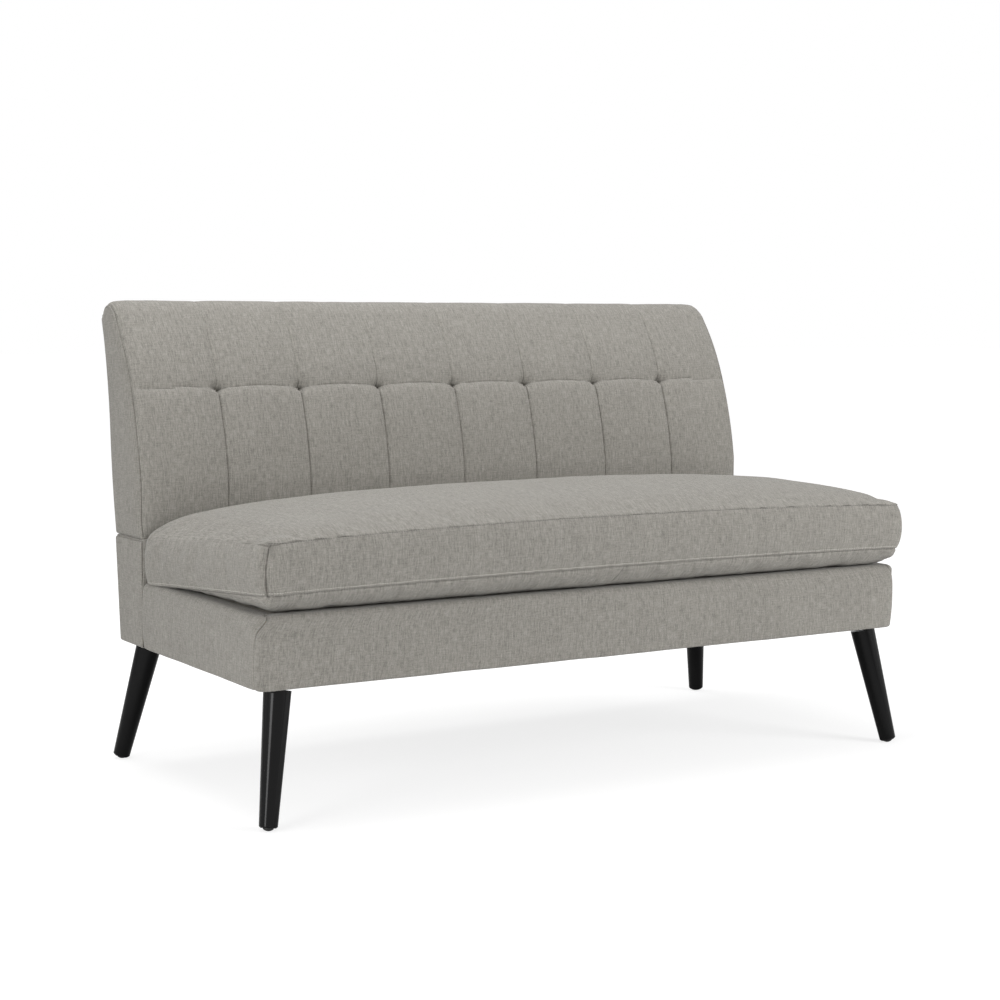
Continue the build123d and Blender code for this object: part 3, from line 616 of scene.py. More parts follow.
def rgba(colour):
    return (*colour, 1.0)


# --- Materials ---


def new_material(name):
    """A material with its node tree and its Principled shader."""
    material = bpy.data.materials.new(name)
    material.use_nodes = True
    tree = material.node_tree
    return material, tree, tree.nodes.get("Principled BSDF")


def surface_material(name, fill, values, source, bump, strength, finish, turn=None, gloss=None):
    """A material whose colour, roughness and relief come from a node group, made once.

    finish sets the shader's own sockets, turn turns the pattern and gloss spreads the roughness.
    """
    known = bpy.data.materials.get(name)
    if known:
        return known
    material, tree, shader = new_material(name)
    wire = Wiring(tree)
    place = tree.nodes.new("ShaderNodeTexCoord").outputs[source]
    if turn is not None:
        place = wire.add("Mapping", {"Vector": place, "Rotation": turn}).outputs["Vector"]
    node = tree.nodes.new("ShaderNodeGroup")
    node.node_tree = surface_group(fill, values)
    for socket, value in {"Vector": place, **values}.items():
        wire.feed(node.inputs[socket], value)
    relief = wire.add(
        "Bump", {"Distance": bump, "Strength": strength, "Height": node.outputs["Height"]}
    )
    rough = node.outputs["Roughness"]
    if gloss:
        rough = wire.spread(rough, *gloss)
    wire.link(node.outputs["Color"], shader.inputs["Base Color"])
    wire.link(rough, shader.inputs["Roughness"])
    wire.link(relief.outputs["Normal"], shader.inputs["Normal"])
    for socket, value in finish.items():
        shader.inputs[socket].default_value = value
    return material


def linen_material(name, light, dark, pitch, slubs, source, bump, strength, finish):
    """Woven cloth, from coordinates over the cloth ("UV") or in the piece ("Object")."""
    values = {
        "Thread Pitch": pitch, "Light Yarn": rgba(light), "Dark Yarn": rgba(dark), "Slubs": slubs,
    }
    finish = {"Specular IOR Level": 0.2, **finish}
    return surface_material(name, linen_weave, values, source, bump, strength, finish)


def cover_material():
    """The greige linen-look cover cloth."""
    fabric = settings().fabric
    return linen_material(
        "cover_linen", fabric.light, fabric.dark, fabric.thread, 1.0, "UV", fabric.relief, 0.7,
        {"Sheen Weight": 0.14, "Sheen Roughness": 0.5},
    )


def plain_weave_material(name, light, dark, pitch, source="Object"):
    """Cloth that is smoother than the covers."""
    return linen_material(name, light, dark, pitch, 0.6, source, 0.0003, 0.5, {})


def lining_material():
    """The black cloth under the frame and under the backrest."""
    return plain_weave_material("dust_cloth", (0.03, 0.03, 0.03), (0.01, 0.01, 0.01), 0.0012, "UV")


def mottle_material(name, first, second, patch, grit, rough, bump, metallic=0.0):
    values = {
        "Color A": rgba(first), "Color B": rgba(second), "Patch Scale": patch, "Grit Scale": grit,
        "Rough Low": rough[0], "Rough High": rough[1],
    }
    return surface_material(name, mottle, values, "Object", bump, 0.4, {"Metallic": metallic})


# Turns for grain that runs along the sofa and for grain that runs upright
ALONG = (0, 0, 0)
UPRIGHT = (0, math.radians(90), 0)


def timber_material(name, early, late, rings, turn, bump=0.0004, finish=None, gloss=None):
    values = {"Early Wood": rgba(early), "Late Wood": rgba(late), "Ring Scale": rings}
    finish = finish or {}
    return surface_material(name, wood_grain, values, "Object", bump, 0.4, finish, turn, gloss)


def lacquer_material():
    """Black satin lacquer over turned wood: the grain shows only as a faint relief."""
    black = settings().legs.lacquer
    warm = [part * warmer for part, warmer in zip(black, (1.15, 1.12, 1.1))]
    finish = {
        "Specular IOR Level": 0.07, "Coat Weight": 0.25, "Coat Roughness": 0.09, "Coat IOR": 1.45,
    }
    gloss = (0.5, 0.72, 0.18, 0.22)
    return timber_material("leg_lacquer", warm, black, 140.0, UPRIGHT, 0.00002, finish, gloss)


def zinc_material():
    """Zinc-plated steel with soft patches."""
    return mottle_material(
        "zinc_plate", (0.45, 0.45, 0.46), (0.62, 0.62, 0.63), 120.0, 900.0, (0.28, 0.45),
        0.00005, 1.0,
    )


def dress(piece, material, body, nodes=()):
    """Gives a new piece its material, its body and the nodes that it stands for."""
    piece.data.materials.clear()
    piece.data.materials.append(material)
    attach(piece, body)
    if nodes:
        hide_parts(*nodes)


def upholster(piece, body, nodes):
    """Dresses a padded cover in the cover cloth."""
    dress(piece, cover_material(), body, nodes)


# --- The seat cushion ---

HALF_SEAT = BAND_HIGH.x
HALF_DEPTH = (BAND_HIGH.y - BAND_LOW.y) / 2
# A point nearer to a seam's height than this lies on the seam
AT_SEAM = 0.0003
# From row to row of points on the cushion's covers and on its boxing
CUSHION_STEP = 0.0115
BOXING_STEP = 0.011


def cushion_plan(a, b):
    """Plan position for shares from -1 to 1, with rounded corners and slightly drawn-in sides."""
    cushion = settings().cushion
    front = BAND_LOW.y + cushion.bulge + 0.001
    rear = BAND_HIGH.y
    half_y = (rear - front) / 2
    radius = cushion.corner
    x = a * HALF_SEAT
    y = b * half_y
    px = np.abs(x) - (HALF_SEAT - radius)
    py = np.abs(y) - (half_y - radius)
    corner = (px > 0) & (py > 0)
    scale = np.where(corner, np.maximum(px, py) / (np.hypot(px, py) + 1e-12), 1.0)
    x = np.where(corner, np.sign(x) * (HALF_SEAT - radius + px * scale), x)
    y = np.where(corner, np.sign(y) * (half_y - radius + py * scale), y)
    x = x * (1 - 0.003 * (1 - b * b))
    return x, y + (front + rear) / 2, front


def cushion_seams(x, y, front):
    """Heights of the lower and upper seam over the plan."""
    cushion = settings().cushion
    share = np.clip(np.abs(x) / HALF_SEAT, 0, 1)
    drop = cushion.tilt * (y - front)
    low = cushion.lower_seam - cushion.lower_arch * share**2.5 - drop
    high = cushion.lower_seam + cushion.boxing - cushion.upper_arch * share**2.3 - drop
    return low, high


def inside_shares(a, b):
    """Distances from the cushion's ends and from its front or rear, for shares from -1 to 1."""
    return HALF_SEAT * (1 - np.abs(a)), HALF_DEPTH * (1 - np.abs(b))


def cushion_crown(a, b):
    """Height of the top over its seam: a soft edge, then a rise that is fuller at the right."""
    cushion = settings().cushion
    depth = (b + 1) / 2
    peak = 0.60
    front = 1 - np.clip(1 - depth / peak, 0, 1) ** 2.2
    rear = 1 - np.clip((depth - peak) / (1 - peak), 0, 1) ** 9
    right = smooth_step((a + 1) / 2)
    ends = np.clip(1 - np.abs(a) ** (3.2 + 0.8 * right), 0, 1) ** 0.46
    edge = 1 - bell(np.minimum(*inside_shares(a, b)), 0.010, 1)
    rise = (cushion.crown + 0.008 * right) * np.minimum(front, rear) * ends
    return rise + cushion.edge_rise * edge


def cushion_underside(a, b, low):
    """Height of the bottom cover: round under the seam, then flat on the deck."""
    side, end = inside_shares(a, b)
    power = np.where(side < end, 4.4, 2.4)
    share = 1 - np.clip(1 - np.minimum(side, end) / 0.065, 0, 1) ** power
    return low - (low - DECK_TOP - 0.0005) * share


def inside_plan(x, y, front):
    """How far inside the cushion's rounded outline a point lies, seen from above."""
    radius = settings().cushion.corner
    half_y = (BAND_HIGH.y - front) / 2
    qx = np.abs(x) - (HALF_SEAT - radius)
    qy = np.abs(y - (BAND_HIGH.y + front) / 2) - (half_y - radius)
    outside = np.hypot(np.maximum(qx, 0), np.maximum(qy, 0))
    return radius - outside - np.minimum(np.maximum(qx, qy), 0)


def shape_cushion_seams(piece, front, on_deck):
    """Draws in the seams, raises the stitched allowance, pinches the corners and adds folds."""
    points = vertex_values(piece, "co")
    x, y, z = points.T
    low, high = cushion_seams(x, y, front)
    inside = np.maximum(inside_plan(x, y, front), 0)
    above, below = z - high, low - z
    from_high = np.where(above > -AT_SEAM, np.hypot(inside, np.maximum(above, 0)), -above)
    from_low = np.where(below > -AT_SEAM, np.hypot(inside, np.maximum(below, 0)), -below)
    from_seam = np.minimum(from_high, from_low)
    by_low = from_low < from_high
    on_band = (above < AT_SEAM) & (below < AT_SEAM)

    # The upper seam is faint on the ends, behind their front corners, and at the right front
    end = smooth_step((np.abs(x) - HALF_SEAT + 0.030) / 0.020)
    faint = 0.30 + 0.70 * (1 - end * smooth_step((y - front - 0.050) / 0.060))
    right = smooth_step((x - HALF_SEAT + 0.060) / 0.050)
    lift = seam_profile(from_seam) * np.where(by_low, 1.0, faint * (1.7 - 1.3 * right))
    ridge = 0.0012 * bell(from_seam - 0.0030, 0.0014)
    dent = 0.0008 * bell(from_seam - 0.0058, 0.0010)
    lift += np.where(on_band, np.where(by_low, 1.0, 0.45 * faint) * (ridge - dent), 0)
    lift -= np.where(by_low & ~on_band, 0.0042 * bell(from_low, 0.0026), 0)

    # Upright seams in the front corners, drawn in most under the upper seam at the left
    diagonal = settings().cushion.corner * (1 - math.sqrt(0.5))
    past, behind = np.abs(x) - (HALF_SEAT - diagonal), y - (front + diagonal)
    across, sideways = (behind - past) / math.sqrt(2), (behind + past) / math.sqrt(2)
    near = (np.abs(across) < 0.045) & (np.abs(sideways) < 0.045)
    seam = 0.0024 * bell(sideways, 0.0016) + 0.0016 * bell(sideways, 0.006, 1)
    left = np.where(x < 0, 1.0, 0.15)
    pinch = np.hypot(sideways + 0.005, (z - (high - 0.011)) * 0.75)
    lift -= np.where(on_band & near, seam + 0.0082 * left * bell(pinch, 0.012), 0)
    ear = np.hypot(sideways, inside * 0.7)
    lift += np.where((above >= 0) & near, 0.0010 * left * bell(ear, 0.012), 0)

    waves = 0.0011 * ripple(points, 0.060, 3) + 0.0010 * ripple(points, 0.15, 4)
    pucker = ripple(points * (1.0, 1.0, 0.3), 0.012, 5) * bell(from_seam, 0.016)
    lift += waves * (1 - bell(from_seam, 0.02, 1)) + 0.0004 * pucker
    lift[on_deck] = 0
    put_coordinates(piece, points + vertex_values(piece, "normal") * lift[:, None])


def round_the_plan(a, b):
    """Shares round the cushion's outline and back to the start, from those along its sides."""
    b = b[1:-1]
    one_a, one_b = np.ones(len(a)), np.ones(len(b))
    return (
        np.concatenate([a, one_b, a[::-1], -one_b, [-1]]),
        np.concatenate([-one_a, b, one_a, b[::-1], [-1]]),
    )


def make_cushion():
    """The loose seat cushion as one padded cover: top, boxing band and bottom."""
    cushion = settings().cushion
    a = graded([-HALF_SEAT, HALF_SEAT], CUSHION_STEP) / HALF_SEAT
    b = graded([-HALF_DEPTH, HALF_DEPTH], CUSHION_STEP) / HALF_DEPTH
    grid_a, grid_b = np.meshgrid(a, b, indexing="ij")
    x, y, front = cushion_plan(grid_a, grid_b)
    low, high = cushion_seams(x, y, front)
    top = points_of(x, y, high + cushion_crown(grid_a, grid_b))
    bottom = points_of(x, y, cushion_underside(grid_a, grid_b, low))
    flat = points_of(x, y)
    x, y, _ = cushion_plan(*round_the_plan(a, b))
    low, high = cushion_seams(x, y, front)
    around = points_of(x, y)
    ahead = np.gradient(around[:-1], axis=0)
    ahead = unit(np.append(ahead, ahead[:1], axis=0))
    out_x, out_y = ahead[:, 1, None], -ahead[:, 0, None]
    rises = graded([0, cushion.boxing], BOXING_STEP) / cushion.boxing
    swell = cushion.bulge * (1 - (2 * rises - 1) ** 2) ** 0.8
    swell = (1 - 0.75 * np.clip(out_y, 0, 1)) * swell
    band = points_of(
        x[:, None] + out_x * swell, y[:, None] + out_y * swell,
        low[:, None] + (high - low)[:, None] * rises,
    )
    band_cloth = points_of(distances(around)[:, None] + 3.0, rises * cushion.boxing)
    patches = [(top, flat), (bottom, flat + 7.0), (band, band_cloth)]
    piece = mesh_from_patches("seat_cushion", patches)
    x, y, z = vertex_values(piece, "co").T
    low, high = cushion_seams(x, y, front)
    on_seam = (np.abs(z - high) < AT_SEAM) | (np.abs(z - low) < AT_SEAM)
    on_deck = z < DECK_TOP + 0.0012
    settle(piece, np.where(on_seam | on_deck, 1.0, 0.0), cushion.pressure, cushion.give)
    shape_cushion_seams(piece, front, on_deck)
    finish_cloth(piece)
    nodes = ("cushion_top_cover", "cushion_band", "cushion_bottom_cover", "cushion_foam")
    upholster(piece, "seat_cushion", nodes)
    return piece


def nearest_on(piece, path, lift):
    """The path put on a piece's surface, with the surface's normals."""
    placed, outward = [], []
    for point in path:
        _, place, normal, _ = piece.closest_point_on_mesh(point)
        placed.append(np.array(place) + np.array(normal) * lift)
        outward.append(np.array(normal))
    return np.array(placed), np.array(outward)


# Points of a seam's path along the front and along a side
FRONT_POINTS = 320
SIDE_POINTS = 130
# From stitch to stitch, and a stitch's length
STITCH_PITCH = 0.0046
STITCH_LENGTH = 0.0034
# How much of the thread's light colour the thread in the seams and the topstitching keep; the dark
# thread in the seams is painted shade of their grooves
PAINTED_SHADE_THREAD = 0.30
OPEN_THREAD = 1.0


def cushion_seam_path(upper, offset):
    """A line round the cushion, a little way off its upper or lower seam, on the boxing."""
    a, b = np.linspace(-1, 1, FRONT_POINTS), np.linspace(-1, 1, SIDE_POINTS)
    x, y, front = cushion_plan(*round_the_plan(a, b))
    low, high = cushion_seams(x, y, front)
    return points_of(x, y, high - offset if upper else low + offset)


def make_cushion_stitching(piece):
    """Dark thread in both seams and in the join in the bottom cover, painted shade of their
    grooves, and topstitching over the lower seam.
    """
    light = settings().fabric.stitch
    threads = {
        shade: mottle_material(
            name, [c * shade for c in light], [c * shade * 0.8 for c in light],
            200.0, 3000.0, (0.6, 0.8), 0.0001,
        )
        for shade, name in (
            (PAINTED_SHADE_THREAD, "thread_painted_seam_shade"), (OPEN_THREAD, "sewing_thread_light")
        )
    }
    for name, upper, offset, radius, shade in (
        # painted shade: dark thread laid in the upper seam's groove
        ("cushion_upper_seam_painted_shade", True, 0.0006, 0.0008, PAINTED_SHADE_THREAD),
        ("cushion_lower_stitching", False, 0.0056, 0.0006, OPEN_THREAD),
        # painted shade: dark thread laid in the lower seam's groove, under the light topstitching
        ("cushion_lower_seam_painted_shade", False, -0.0004, 0.0008, PAINTED_SHADE_THREAD),
    ):
        seam = cushion_seam_path(upper, offset)
        path, outward = nearest_on(piece, seam[:FRONT_POINTS] if upper else seam, 0.0001)
        row = stitch_row(name, path, outward, STITCH_PITCH, STITCH_LENGTH, radius)
        dress(row, threads[shade], "seat_cushion")
    down = np.linspace(0, 1, 24)
    join = points_of(
        0.018 - 0.010 * down**2, BAND_LOW.y + 0.004 + 0.030 * down, 0.386 - 0.020 * down
    )
    # painted shade: a dark cord sunk along the join's groove
    path, outward = nearest_on(piece, join, -0.0002)
    row = cord("cushion_bottom_join_painted_shade", path, outward, 0.0007, 0.0)
    dress(row, threads[PAINTED_SHADE_THREAD], "seat_cushion")


# Heights of the rows of points across the zipper's tapes, from its middle
ZIP_ROWS = (-0.0100, -0.0060, -0.0020, 0.0020, 0.0060, 0.0100)
# The pitch, length and radius of the zipper's teeth
ZIP_TEETH = (0.0022, 0.0014, 0.0017)


def make_zipper(piece):
    """The zipper in the rear of the boxing: two woven tapes, a coil of teeth and a slider."""
    height = (ZIP_LOW.z + ZIP_HIGH.z) / 2
    x = np.linspace(ZIP_LOW.x, ZIP_HIGH.x, 121)
    rows = [
        nearest_on(piece, points_of(x, BAND_HIGH.y + 0.01, height + shift), 0.0002)[0]
        for shift in ZIP_ROWS
    ]
    grid = np.stack(rows, axis=1)
    tape = mesh_from_patches("cushion_zip_tape", [(grid, cloth_coordinates(grid, 80.0))])
    face_out(tape, (0, 0, height))
    finish_cloth(tape, 0, 0.0008)
    woven = plain_weave_material(
        "zip_tape", (0.10, 0.095, 0.085), (0.05, 0.048, 0.042), 0.0012, "UV"
    )
    dress(tape, woven, "seat_cushion", ("cushion_zipper",))
    middle = (rows[2] + rows[3]) / 2
    outward = np.repeat([[0.0, 1.0, 0.0]], len(x), axis=0)
    coil = stitch_row("cushion_zip_coil", middle + outward * 0.0010, outward, *ZIP_TEETH)
    nylon = mottle_material(
        "zip_nylon", (0.06, 0.057, 0.05), (0.04, 0.038, 0.034), 90.0, 1200.0, (0.4, 0.5), 0.00005
    )
    dress(coil, nylon, "seat_cushion")
    for name, size, shift in (
        ("cushion_zip_slider", (0.010, 0.0036, 0.0070), (0, 0.0022, 0)),
        ("cushion_zip_pull", (0.0160, 0.0012, 0.0050), (-0.0100, 0.0044, 0)),
    ):
        deselect()
        bpy.ops.mesh.primitive_cube_add(size=1.0, location=tuple(np.add(middle[-3], shift)))
        part = bpy.context.object
        part.name = name
        part.scale = size
        bpy.ops.object.transform_apply(location=True, rotation=True, scale=True)
        apply_modifier(part, "bevel", "BEVEL", width=0.0005, segments=2)
        dress(part, zinc_material(), "seat_cushion")


# --- The backrest ---


def bowed(start, end, bow, count):
    """Points of an arc from start to end that bows to the left, as (y, z), without its end."""
    start, end = np.array(start, float), np.array(end, float)
    span = end - start
    length = np.hypot(*span)
    left = np.array([-span[1], span[0]]) / length
    share = np.linspace(0, 1, count, endpoint=False)
    if abs(bow) < 1e-9:
        return start + share[:, None] * span
    radius = (length**2 / 4 + bow**2) / (2 * abs(bow))
    sign = math.copysign(1, bow)
    centre = (start + end) / 2 + left * (bow - sign * radius)
    half = math.asin(min(1.0, length / 2 / radius))
    turn = half * (1 - 2 * share) * sign
    first = left * sign
    side = span / length
    return centre + radius * (
        first * np.cos(turn)[:, None] - side[None, :] * np.sin(turn * sign)[:, None]
    )


# How far the seams beside the front cover lie from the ends, and how wide the cover rolls there
BACK_SEAM = 0.0035
BACK_ROLL = 0.016
QUILT_EDGE = HALF_BACK - BACK_SEAM
# How thick the tufted cover is with its foam, and from row to row of points on it
QUILT_DEPTH = 0.021
QUILT_STEP = 0.0075
# From row to row of points on the panels at the backrest's ends and on the riser's
SIDE_STEP = 0.009

# The backrest's side outline, as setbacks from its front and heights over its bottom
LUMBAR = (0.0, 0.102)
TUFT = (0.043, 0.270)
BROW = (0.115, 0.401)
CREST = (0.155, 0.430)
BACK_CORNER = 0.032
NAPE = (CREST[0] + BACK_CORNER, CREST[1] - BACK_CORNER)
WAIST = (0.152, 0.172)
HEEL_REAR = (0.129, 0.0)
# Points of the outline below the lumbar height and from there to the tufts
LUMBAR_STEPS = 40
TUFT_STEPS = 60


def bowed_outline(*stretches):
    """An outline of bowed stretches, each its start, its end, its bow and its points."""
    arcs = [bowed(*stretch) for stretch in stretches] + [np.array([stretches[-1][1]])]
    return np.concatenate(arcs) + (BACK_FRONT, BACK_BOTTOM)


def front_outline():
    """The backrest's front profile from its heel over its top to the nape, as (y, z)."""
    corner_bow = BACK_CORNER - math.sqrt(BACK_CORNER**2 - math.dist(NAPE, CREST) ** 2 / 4)
    return bowed_outline(
        ((0, 0), LUMBAR, 0, LUMBAR_STEPS), (LUMBAR, TUFT, 0.005, TUFT_STEPS),
        (TUFT, BROW, 0.006, 60), (BROW, CREST, 0.005, 30), (CREST, NAPE, corner_bow, 30),
    )


def rear_outline():
    """The backrest's rear profile from the nape down to its bottom."""
    return bowed_outline((NAPE, WAIST, -0.006, 60), (WAIST, HEEL_REAR, 0.003, 40))


def along_outline(outline, stops):
    """Points and outward normals at distances along an outline, as arrays of (y, z)."""
    along = distances(outline)
    stops = np.clip(stops, 0, along[-1])
    slopes = np.gradient(outline, along, axis=0)
    places = points_of(*(np.interp(stops, along, column) for column in outline.T))
    tangent = unit(points_of(*(np.interp(stops, along, column) for column in slopes.T)))
    return places, points_of(-tangent[:, 1], tangent[:, 0])


def tuft_arc():
    """How far along the front profile the tuft row lies."""
    return distances(front_outline())[LUMBAR_STEPS + TUFT_STEPS]


def quilt_height(x, arc, whole):
    """How far the tufted cover stands proud of the outline."""
    back = settings().backrest
    pitch = 2 * QUILT_EDGE / back.columns
    column = np.clip((x + QUILT_EDGE) / pitch, 0, back.columns)
    nearest = np.clip(np.round(column), 1, back.columns - 1)
    share = np.abs(column - nearest)
    beside = share * pitch
    from_end = QUILT_EDGE - np.abs(x)
    outermost = (column < 0.5) | (column > back.columns - 0.5)
    rise = back.seam_rise * np.where(outermost, 0.5 * share, np.sin(share * math.pi))
    above = arc - tuft_arc() - rise
    lower = above < 0
    climb = np.abs(above)
    away = np.hypot(beside, climb)
    upward = np.clip(climb / (whole - tuft_arc()), 0, 1)

    # The panels swell between their seams
    across = 1 - bell(beside, 0.016, 1.05)
    low_swell = back.lower_puff * across * (1 - bell(climb, 0.008, 1.05))
    low_swell *= 1 - 0.45 * np.clip(climb / tuft_arc(), 0, 1) ** 2
    high_across = across + (1 - across) * upward**1.5
    high_swell = back.upper_puff * high_across * (1 - bell(climb, 0.026, 1.1))
    high_swell *= np.clip(1 - 0.45 * upward**3, 0, 1)
    height = np.where(lower, low_swell, high_swell) * np.clip(from_end / 0.035, 0, 1) ** 0.6

    # The seams draw them in, upright ones as grooves and the level one most beside the tufts
    groove = bell(beside, 0.0010) + 0.25 * bell(beside, 0.0035, 1)
    groove *= np.where(lower, 0.75, 0.62 * (1 - 0.75 * upward))
    level = bell(climb, 0.0010) + 0.3 * bell(climb, 0.0035, 1)
    level *= np.clip(from_end / 0.02, 0, 1) * (0.65 + 1.3 * bell(away, 0.022))
    height -= back.seam_depth * np.maximum(groove, level)

    # The tufts draw in the upper panels more than the lower ones, with folds round them
    deep = 0.40 * bell(away, 0.017, 1) + 0.60 * bell(away, 0.0088, 1.6)
    slight = 0.20 * bell(away, 0.010, 1) + 0.60 * bell(away, 0.0040, 1.6)
    height -= back.tuft_depth * np.where(lower, slight, deep)
    angle = np.arctan2(above, beside)
    folds = np.cos(2 * angle) ** 3 * np.cos(7 * angle)
    height += 0.0012 * folds * bell(away - 0.013, 0.009)
    height -= 0.0022 * bell(from_end, 0.0016)
    return height - end_roll(x, arc, whole)


def end_roll(x, arc, whole):
    """How far the cover rolls back toward its two ends."""
    rolled = np.clip((np.abs(x) - (QUILT_EDGE - BACK_ROLL)) / BACK_ROLL, 0, 1)
    return rolled_back(arc, whole) * (1 - np.sqrt(np.clip(1 - rolled**2, 0, 1)))


def rolled_back(arc, whole):
    """Depth of that roll at the ends: none where the cover meets the bottom and the rear."""
    return 0.45 * BACK_ROLL * smooth_step(arc / 0.03) * smooth_step((whole - arc) / 0.014)


def make_quilt():
    """The tufted front cover: columns of panels in two rows, drawn in at blind tufts."""
    back = settings().backrest
    outline = front_outline()
    whole = distances(outline)[-1]
    x = graded(np.linspace(-QUILT_EDGE, QUILT_EDGE, back.columns + 1), QUILT_STEP)
    row = tuft_arc()
    first, last = row - 0.030, row + 0.035
    by_row = graded([first, row, row + back.seam_rise, last], 0.0025, (0.0008, 0.0018))
    arc = np.concatenate([np.linspace(0, first, 34)[:-1], by_row, np.linspace(last, whole, 26)[1:]])
    places, outward = along_outline(outline, arc)
    grid_x, grid_arc = np.meshgrid(x, arc, indexing="ij")

    def skin(height):
        return points_of(grid_x, *(places.T[:, None] + outward.T[:, None] * height))

    cloth = points_of(grid_x, grid_arc)
    front = skin(quilt_height(grid_x, grid_arc, whole))
    piece = mesh_from_patches("back_tufted_cover", slab(front, skin(-QUILT_DEPTH), cloth, 5.0))
    points = vertex_values(piece, "co")
    waves = 0.0008 * ripple(points, 0.06, 11) + 0.0003 * ripple(points, 0.024, 12)
    put_coordinates(piece, points + vertex_values(piece, "normal") * waves[:, None])
    finish_cloth(piece, 0)
    upholster(piece, "backrest", ("back_front_cover", "back_foam"))


def make_back_sides():
    """The two side panels of the backrest, padded, rolled at their edges."""
    front, rear = front_outline(), rear_outline()[::-1]
    length = distances(front)[-1]
    arc = eased(0, length, SIDE_STEP)
    front_places, ahead = along_outline(front, arc)
    front_places = front_places - ahead * rolled_back(arc, length)[:, None]
    rear_places, _ = along_outline(rear, arc / length * distances(rear)[-1])
    across = eased(0, 0.15, SIDE_STEP) / 0.15
    spans = np.linalg.norm(front_places - rear_places, axis=1)[:, None]
    places = front_places[:, None] * (1 - across)[:, None] + rear_places[:, None] * across[:, None]
    inside = np.minimum(np.minimum(across, 1 - across) * spans, arc[:, None])
    proud = 0.0050 * (1 - bell(inside, 0.020, 1.2)) + 1.6 * seam_profile(inside)
    for side, name in ((-1, "back_left_side"), (1, "back_right_side")):
        grid = points_of(side * (HALF_BACK - 0.0006 + proud), places[..., 0], places[..., 1])
        flat = grid.reshape(-1, 3)
        uneven = 0.0007 * ripple(flat, 0.06, 21) + 0.0003 * ripple(flat, 0.024, 22)
        grid[..., 0] += side * uneven.reshape(inside.shape) * (1 - bell(inside, 0.015, 1))
        inner = grid.copy()
        inner[..., 0] = side * (HALF_BACK - 0.0050)
        piece = mesh_from_patches(name, slab(grid, inner, places + 11.0 + side, rim=0.003))
        finish_cloth(piece, 0)
        upholster(piece, "backrest", ("back_side_covers",))


def cord(name, path, outward, radius, shift):
    """A thin round welt of cover cloth along a path."""
    ahead = unit(np.gradient(path, axis=0))
    side = unit(np.cross(ahead, outward))
    up = np.cross(side, ahead)
    turn = np.linspace(0, 2 * math.pi, 11)
    ring = side[:, None] * np.cos(turn)[:, None] + up[:, None] * np.sin(turn)[:, None]
    grid = path[:, None] + ring * radius
    cloth = points_of(distances(path)[:, None] + shift, turn * radius)
    patches = [(grid, cloth)]
    for row in (0, -1):
        middle = np.repeat(path[row][None], len(turn), axis=0)
        patches.append((np.stack([grid[row], middle]), np.stack([cloth[row], cloth[row]])))
    piece = mesh_from_patches(name, patches)
    finish_cloth(piece, 0)
    return piece


def make_back_welts():
    """The welts sewn between the tufted cover and the side panels."""
    outline = front_outline()
    whole = distances(outline)[-1]
    arc = np.linspace(0.006, whole - 0.006, 150)
    places, ahead = along_outline(outline, arc)
    places = places - ahead * (rolled_back(arc, whole)[:, None] + 0.0004)
    for side, name in ((-1, "back_left_welt"), (1, "back_right_welt")):
        path = points_of(side * (HALF_BACK - 0.0026), *places.T)
        piece = cord(name, path, unit(points_of(side * 0.8, *ahead.T)), 0.0019, 90.0 + side)
        dress(piece, cover_material(), "backrest")


def make_back_rear():
    """The rear cover of the backrest, from the nape down to the bottom."""
    outline = rear_outline()
    places, _ = along_outline(outline, eased(0.0, distances(outline)[-1]))
    x = eased(-QUILT_EDGE, QUILT_EDGE)
    make_cover(
        "back_rear", points_of(x[:, None], *places.T), (0, BACK_FRONT + 0.06, BACK_BOTTOM + 0.2),
        ("first", "last", "left", "right"), 60.0, 81, "backrest", ("back_rear_cover",),
        0.0007, 0.0006,
    )


# Where the tongues pass through the bottom of the backrest, as half spans
TONGUES = 0.450
TONGUE_HALF = 0.0204
TONGUE_FRONT = BACK_FRONT + 0.0815
TONGUE_REAR = BACK_FRONT + 0.0855


def make_back_bottom():
    """Cloth under the backrest, slit for the two tongues."""
    half = HALF_BACK - 0.004
    low_y, high_y = BACK_FRONT + 0.016, BACK_FRONT + HEEL_REAR[0] - 0.004
    stops = {-half, half}
    for side in (-1, 1):
        stops |= {side * TONGUES - TONGUE_HALF, side * TONGUES + TONGUE_HALF}
    x = fill_stops(sorted(stops), 0.025)[:, None]
    y = fill_stops([low_y, TONGUE_FRONT, TONGUE_REAR, high_y], 0.02)
    grid = points_of(x, y, BACK_BOTTOM + 0.0006)
    piece = mesh_from_patches("back_bottom_cloth", [(grid, points_of(x + 70, y))])
    cut_out(piece, lambda middle: (
        abs(abs(middle.x) - TONGUES) < TONGUE_HALF and TONGUE_FRONT < middle.y < TONGUE_REAR
    ))
    face_out(piece, (0, BACK_FRONT, 1))
    finish_cloth(piece, 0, 0.0015)
    dress(piece, lining_material(), "backrest", ("back_bottom_cover",))


# --- The covers of the base ---

# The sewn sides of a cover whose hem, at the left of its grid, is turned under the frame
BASE_SEAMS = ("first", "last", "right")


def base_plan(s, inset):
    """Plan position along the base's outline: s runs from the left front corner to the right."""
    radius = settings().base.corner
    half_arc = radius * math.pi / 4
    left = np.maximum(radius - inset, 0.0)
    corner_x = -(HALF_WIDTH - inset - left)
    corner_y = BASE_FRONT + inset + left
    angle = np.clip((s + half_arc) / (2 * half_arc), 0, 1) * math.pi / 2
    x = corner_x - left * np.cos(angle)
    y = corner_y - left * np.sin(angle)
    over_front = np.clip((s - half_arc) / (HALF_WIDTH - radius), 0, 1)
    x = np.where(s > half_arc, corner_x * (1 - over_front), x)
    over_side = np.clip((-half_arc - s) / (RISER_FRONT - BASE_FRONT - radius), 0, 1)
    y = np.where(s < -half_arc, corner_y + over_side * (RISER_FRONT - corner_y), y)
    return x, y


